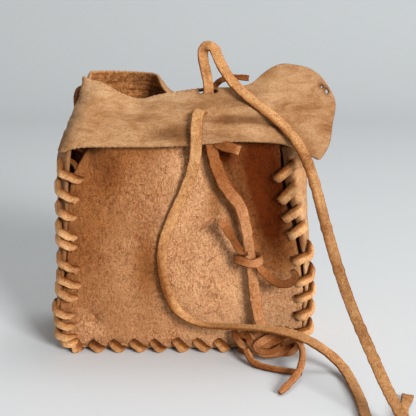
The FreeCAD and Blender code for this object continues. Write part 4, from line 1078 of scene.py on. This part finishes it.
# Each station holds five points up the strip, from its lower edge to its rim.
collarStations = [
    [(60.6, -27, 93.2), (65.0, -24, 100), (66.6, -19.6, 108.4), (67.6, -15.6, 117.6), (61.8, -11.4, 127.6)],
    [(56.3, -27.6, 95.4), (58.4, -25.4, 102), (59.6, -20.8, 110.6), (60.0, -15.4, 120.4),
     (56.8, -10, 130.4)],
    [(50, -27.4, 98.6), (50, -26.2, 104), (50, -22.5, 112), (50.4, -16.2, 121.8), (50.0, -8.8, 131.8)],
    [(42, -27.4, 100.8), (42, -26.8, 105.5), (42, -23.5, 111.6), (42, -17, 120.6), (42.8, -8, 131.6)],
    [(33, -27.4, 101.3), (33, -27, 105.5), (33, -24.2, 110.8), (33.5, -18.4, 117.6), (35.6, -9, 127.0)],
    [(23.5, -27, 101.3), (23.5, -27.4, 105.5), (24, -24.4, 110.5), (25, -18, 116.3), (27.8, -11, 122.6)],
    [(12, -27, 100.4), (12, -27, 105), (12, -24.4, 110.4), (12, -17.6, 115.6), (12, -9.4, 121.4)],
    [(0, -27, 99.5), (0, -26.4, 105), (0, -23, 110.4), (0, -16.6, 115.4), (0, -8, 119.9)],
    [(-12, -26.6, 98.9), (-12, -25.6, 104.4), (-12, -21.8, 109.6), (-12, -15.4, 114), (-12, -8, 117.7)],
    [(-24, -26.4, 98.9), (-23, -25.2, 104.4), (-22.5, -21, 109.4), (-21, -14.6, 113.4), (-19.8, -8, 116.2)],
    [(-35, -26.2, 98.8), (-34, -24.6, 105), (-33, -19.6, 111), (-31, -13.6, 116), (-29, -8, 119.8)],
    [(-45.5, -26, 98.4), (-44, -23.6, 105.5), (-42, -18, 112.4), (-39, -11.6, 118.6), (-36.5, -5.4, 123.4)],
    [(-51.6, -24, 96.3), (-49.6, -20.4, 103.4), (-47, -14.4, 111), (-44, -8.4, 118.6), (-42.2, -3.8, 124.6)],
    [(-54.6, -20, 95.2), (-52, -14.6, 102.2), (-49, -9.4, 110), (-46, -4.6, 118.4), (-44.8, -1.8, 125.4)],
    [(-55.8, -13, 94), (-53.2, -8, 100.8), (-50, -3.6, 108.6), (-46.9, 0, 116.4), (-45, 1.8, 123)],
    [(-56.4, -3, 93.8), (-53.4, -1, 100.4), (-50, 2, 108.4), (-46.8, 5, 116), (-44, 7.6, 121.8)],
    [(-57, 9, 94.8), (-54, 10, 101.4), (-50.6, 11.6, 109.6), (-47.4, 13.4, 117.4), (-44, 15.4, 124.2)],
    [(-55.4, 20, 97.4), (-52.4, 20, 103.4), (-49, 20.4, 111), (-45.6, 20.4, 118.4), (-42.8, 19.6, 125)],
    [(-46, 24, 98.6), (-44.2, 24, 104.6), (-41.4, 23.6, 111.6), (-38.4, 22.4, 118.6), (-35, 20.6, 125)],
    [(-28, 24.2, 98.6), (-27.4, 24.2, 104.8), (-26.4, 23.6, 111.8), (-25.4, 22.4, 118.8),
     (-24.4, 20.4, 124.8)],
    [(-10, 24.2, 98.6), (-10.6, 24, 104.6), (-12, 22.4, 111.4), (-13.6, 19.4, 118.4), (-14.8, 16.4, 124.5)],
    [(4, 24.2, 98.6), (2, 22.8, 104.2), (-2.4, 18.2, 110.6), (-7.2, 13, 117), (-11, 9.6, 123.1)],
    [(18, 24.2, 98.6), (15.6, 20.8, 103.6), (9.4, 14, 109.2), (1, 7.2, 113.8), (-6.9, 4, 117.4)],
    [(32, 24.6, 98.6), (30, 19, 103.4), (24.4, 10, 108.6), (14, 0.6, 112), (4, -2.4, 114.6)],
    [(44, 23.8, 98.6), (42.6, 17.6, 103), (38, 8, 107.8), (28, -3, 112), (18, -5.2, 116)],
    [(53, 20.6, 98.2), (52.2, 14.6, 102.4), (49, 5.6, 107.6), (41, -4, 113), (32, -6.6, 119)],
    [(57.6, 13, 97.6), (56.8, 9, 101.8), (54.4, 2, 107), (49.6, -5.6, 113.6), (44, -7, 121)],
    [(58.6, 2, 97), (58.2, 0, 101.4), (57, -4, 107), (54.6, -8.4, 114), (51, -8, 121.6)],
    [(58.4, -9, 96.6), (58.4, -10, 101.6), (58, -12.4, 107.6), (57, -13.4, 114.4), (54.6, -11.4, 121)],
    [(57.6, -18, 97), (57.8, -19, 102.6), (57.8, -18.4, 108.4), (57.4, -16.8, 114.6), (55, -14, 120.4)],
]
collarShape = {
    "thick": 1.5, "frontStations": 14,
    "creases": [
        {"points": [(10, 109.7), (22, 110.2), (34, 110), (42, 107.6), (48, 104), (51, 99)], "width": 1.9,
         "depth": 1.7},
        {"points": [(-14, 104.5), (-4, 105), (6, 103.6)], "width": 3.2, "depth": 0.9},
        {"points": [(16, 117), (26, 118), (36, 121)], "width": 2.0, "depth": 0.5},
        {"points": [(-8, 114.4), (8, 115), (22, 114.6)], "width": 1.4, "depth": 0.35},
        {"points": [(-34, 112), (-22, 110.4), (-8, 110)], "width": 1.6, "depth": 0.3},
        {"points": [(-46, 106), (-34, 106.4), (-20, 106)], "width": 1.8, "depth": 0.25},
    ],
    # Patches of painted shade low on the front, below the creases.
    "darker": [{"at": (20, 102.5), "reach": (18, 4), "dark": 0.24},
               {"at": (-8, 103), "reach": (9, 3), "dark": 0.30}],
    "holes": [{"at": (8.6, 120.3), "reach": (1.3, 1.0)}, {"at": (14.9, 120.4), "reach": (1.1, 0.9)},
              {"at": (62.2, 123.0), "reach": (0.8, 0.8)}, {"at": (64.4, 121.0), "reach": (0.8, 1.2)}],
}


def makeCollar(stations, values, along=430, across=62):
    # Natural splines through the stations both ways, then wrinkles along the strip and a ragged rim.
    lattice = np.asarray(stations, float)
    wide = splineMatrix(lattice.shape[1], np.linspace(0, lattice.shape[1] - 1, across))
    middle = splineMatrix(len(lattice), np.linspace(0, len(lattice) - 1, 900)) @ lattice[:, 2]
    run = np.concatenate([[0], np.cumsum(np.linalg.norm(np.diff(middle, axis=0), axis=1))])
    places = np.interp(np.linspace(0, run[-1], along), run, np.linspace(0, len(lattice) - 1, 900))
    long = splineMatrix(len(lattice), places)
    grid = np.einsum("as,skc->akc", long, np.einsum("wl,slc->swc", wide, lattice))
    x, z = grid[..., 0], grid[..., 2]
    onFront = np.clip((values["frontStations"] - places) / 1.5, 0, 1)[:, None]
    groove = creaseDepth(x, z, values["creases"]) * onFront
    rise = np.linspace(0, 1, across)[None, :]
    lines = np.stack([np.broadcast_to(np.linspace(0, run[-1], along)[:, None], x.shape) * 0.22,
                      np.broadcast_to(rise * 40, x.shape)], axis=-1)
    wrinkle = smoothNoise(lines, 5, 71) * 0.28 + smoothNoise(lines, 2.2, 72) * 0.10
    wrinkle *= 0.35 + 0.65 * np.sin(math.pi * rise)
    wrinkle *= (0.35 + 0.65 * np.clip((places - 2) / 4, 0, 1))[:, None]
    soft = smoothNoise(grid, 26, 73) * 0.22 * np.sin(math.pi * rise)
    grid = grid - gridNormals(grid) * (groove - wrinkle - soft)[..., None]
    ragged = smoothNoise(places[:, None] * 10.0, 1.6, 74) * (0.06 + 0.16 * np.clip((places - 3) / 3, 0, 1))
    grid[:, :, 2] += ragged[:, None] * (rise ** 12 - (1 - rise) ** 12)
    # Painted shade, deepest in the front creases; the shade mark also rises towards the ear end.
    shade = np.clip(groove / 1.5, 0, 0.75) + 0.28 * np.clip((4 - places) / 3, 0, 1)[:, None]
    for spot in values["darker"]:
        far = ((x - spot["at"][0]) / spot["reach"][0]) ** 2 + ((z - spot["at"][1]) / spot["reach"][1]) ** 2
        shade = shade + spot["dark"] * np.exp(-far) * onFront
    middleX = (grid[1:, 1:, 0] + grid[:-1, :-1, 0]) / 2
    middleZ = (grid[1:, 1:, 2] + grid[:-1, :-1, 2]) / 2
    gone = np.zeros(middleX.shape, bool)
    inFront = places[1:, None] < values["frontStations"]
    for hole in values["holes"]:
        (holeX, holeZ), (wideX, tallZ) = hole["at"], hole["reach"]
        far = ((middleX - holeX) / wideX) ** 2 + ((middleZ - holeZ) / tallZ) ** 2
        gone |= (far < 1) & inFront
        # Painted shade round each hole.
        shade[1:, 1:] += 0.8 * np.exp(-far / 2.5) * inFront
    gone[[0, -1]] = False
    gone[:, [0, -1]] = False
    return leatherShell("collar", grid * mm, values["thick"] * mm, [grainLeather], {"shade": shade},
                        gone=gone)


collar = makeCollar(collarStations, collarShape)
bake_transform(collar)
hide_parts("collar_front", "collar_back")
print("collar made")


# Floor, backdrop and light

stageShape = {"front": -1.6, "bend": 0.55, "radius": 0.35, "high": 1.6, "half": 2.2}


def makeBackdrop(values):
    # A floor, a quarter circle and a wall carried across from side to side.
    turn = np.linspace(0, math.pi / 2, 16)
    side = np.concatenate([
        [[values["front"], 0.0]],
        np.stack([values["bend"] + values["radius"] * np.sin(turn), values["radius"] * (1 - np.cos(turn))],
                 axis=1),
        [[values["bend"] + values["radius"], values["high"]]]])
    across = np.array([-values["half"], values["half"]])
    grid = np.stack([np.broadcast_to(across[None, :], (len(side), 2)),
                     np.broadcast_to(side[:, :1], (len(side), 2)),
                     np.broadcast_to(side[:, 1:], (len(side), 2))], axis=-1)
    material, tree, shader = newMaterial("paleBackdrop")
    place = tree.nodes.new("ShaderNodeTexCoord")
    split = tree.nodes.new("ShaderNodeSeparateXYZ")
    wire(tree, place.outputs["Object"], split.inputs["Vector"])
    # Painted shade: the colour darkens from the floor towards the back and up the wall.
    color = ramp(tree, calculate(tree, "ADD", calculate(tree, "MULTIPLY", split.outputs["Y"], 0.8), 0.2),
                 [(0.1, (0.650, 0.668, 0.678)), (0.9, (0.458, 0.480, 0.488))])
    wire(tree, color, shader.inputs["Base Color"])
    shader.inputs["Roughness"].default_value = 0.9
    shader.inputs["Specular IOR Level"].default_value = 0.1
    backdrop = makePiece("backdrop", grid.reshape(-1, 3), gridFaces(len(side), 2), [material])
    return backdrop


makeBackdrop(stageShape)

lights = [
    {"name": "key", "place": (1.12, -1.66, 0.92), "aim": (0.0, 0.0, 0.06), "size": 0.75, "watts": 60.0},
    {"name": "top", "place": (0.30, 0.20, 1.2), "aim": (0.0, 0.0, 0.06), "size": 0.5, "watts": 4.5},
]
worldLight = {"color": (1.0, 1.0, 1.0), "strength": 0.32}


def makeLights(items, world):
    for item in items:
        data = bpy.data.lights.new(item["name"], "AREA")
        data.size = item["size"]
        data.energy = item["watts"]
        lamp = bpy.data.objects.new(item["name"], data)
        bpy.context.scene.collection.objects.link(lamp)
        lamp.location = item["place"]
        direction = Vector(item["aim"]) - Vector(item["place"])
        lamp.rotation_euler = direction.to_track_quat("-Z", "Y").to_euler()
    scene = bpy.context.scene
    scene.world = bpy.data.worlds.new("room")
    scene.world.use_nodes = True
    background = scene.world.node_tree.nodes["Background"]
    background.inputs["Color"].default_value = (*world["color"], 1)
    background.inputs["Strength"].default_value = world["strength"]
    scene.view_settings.view_transform = "Standard"


makeLights(lights, worldLight)
print("stage and lights made")
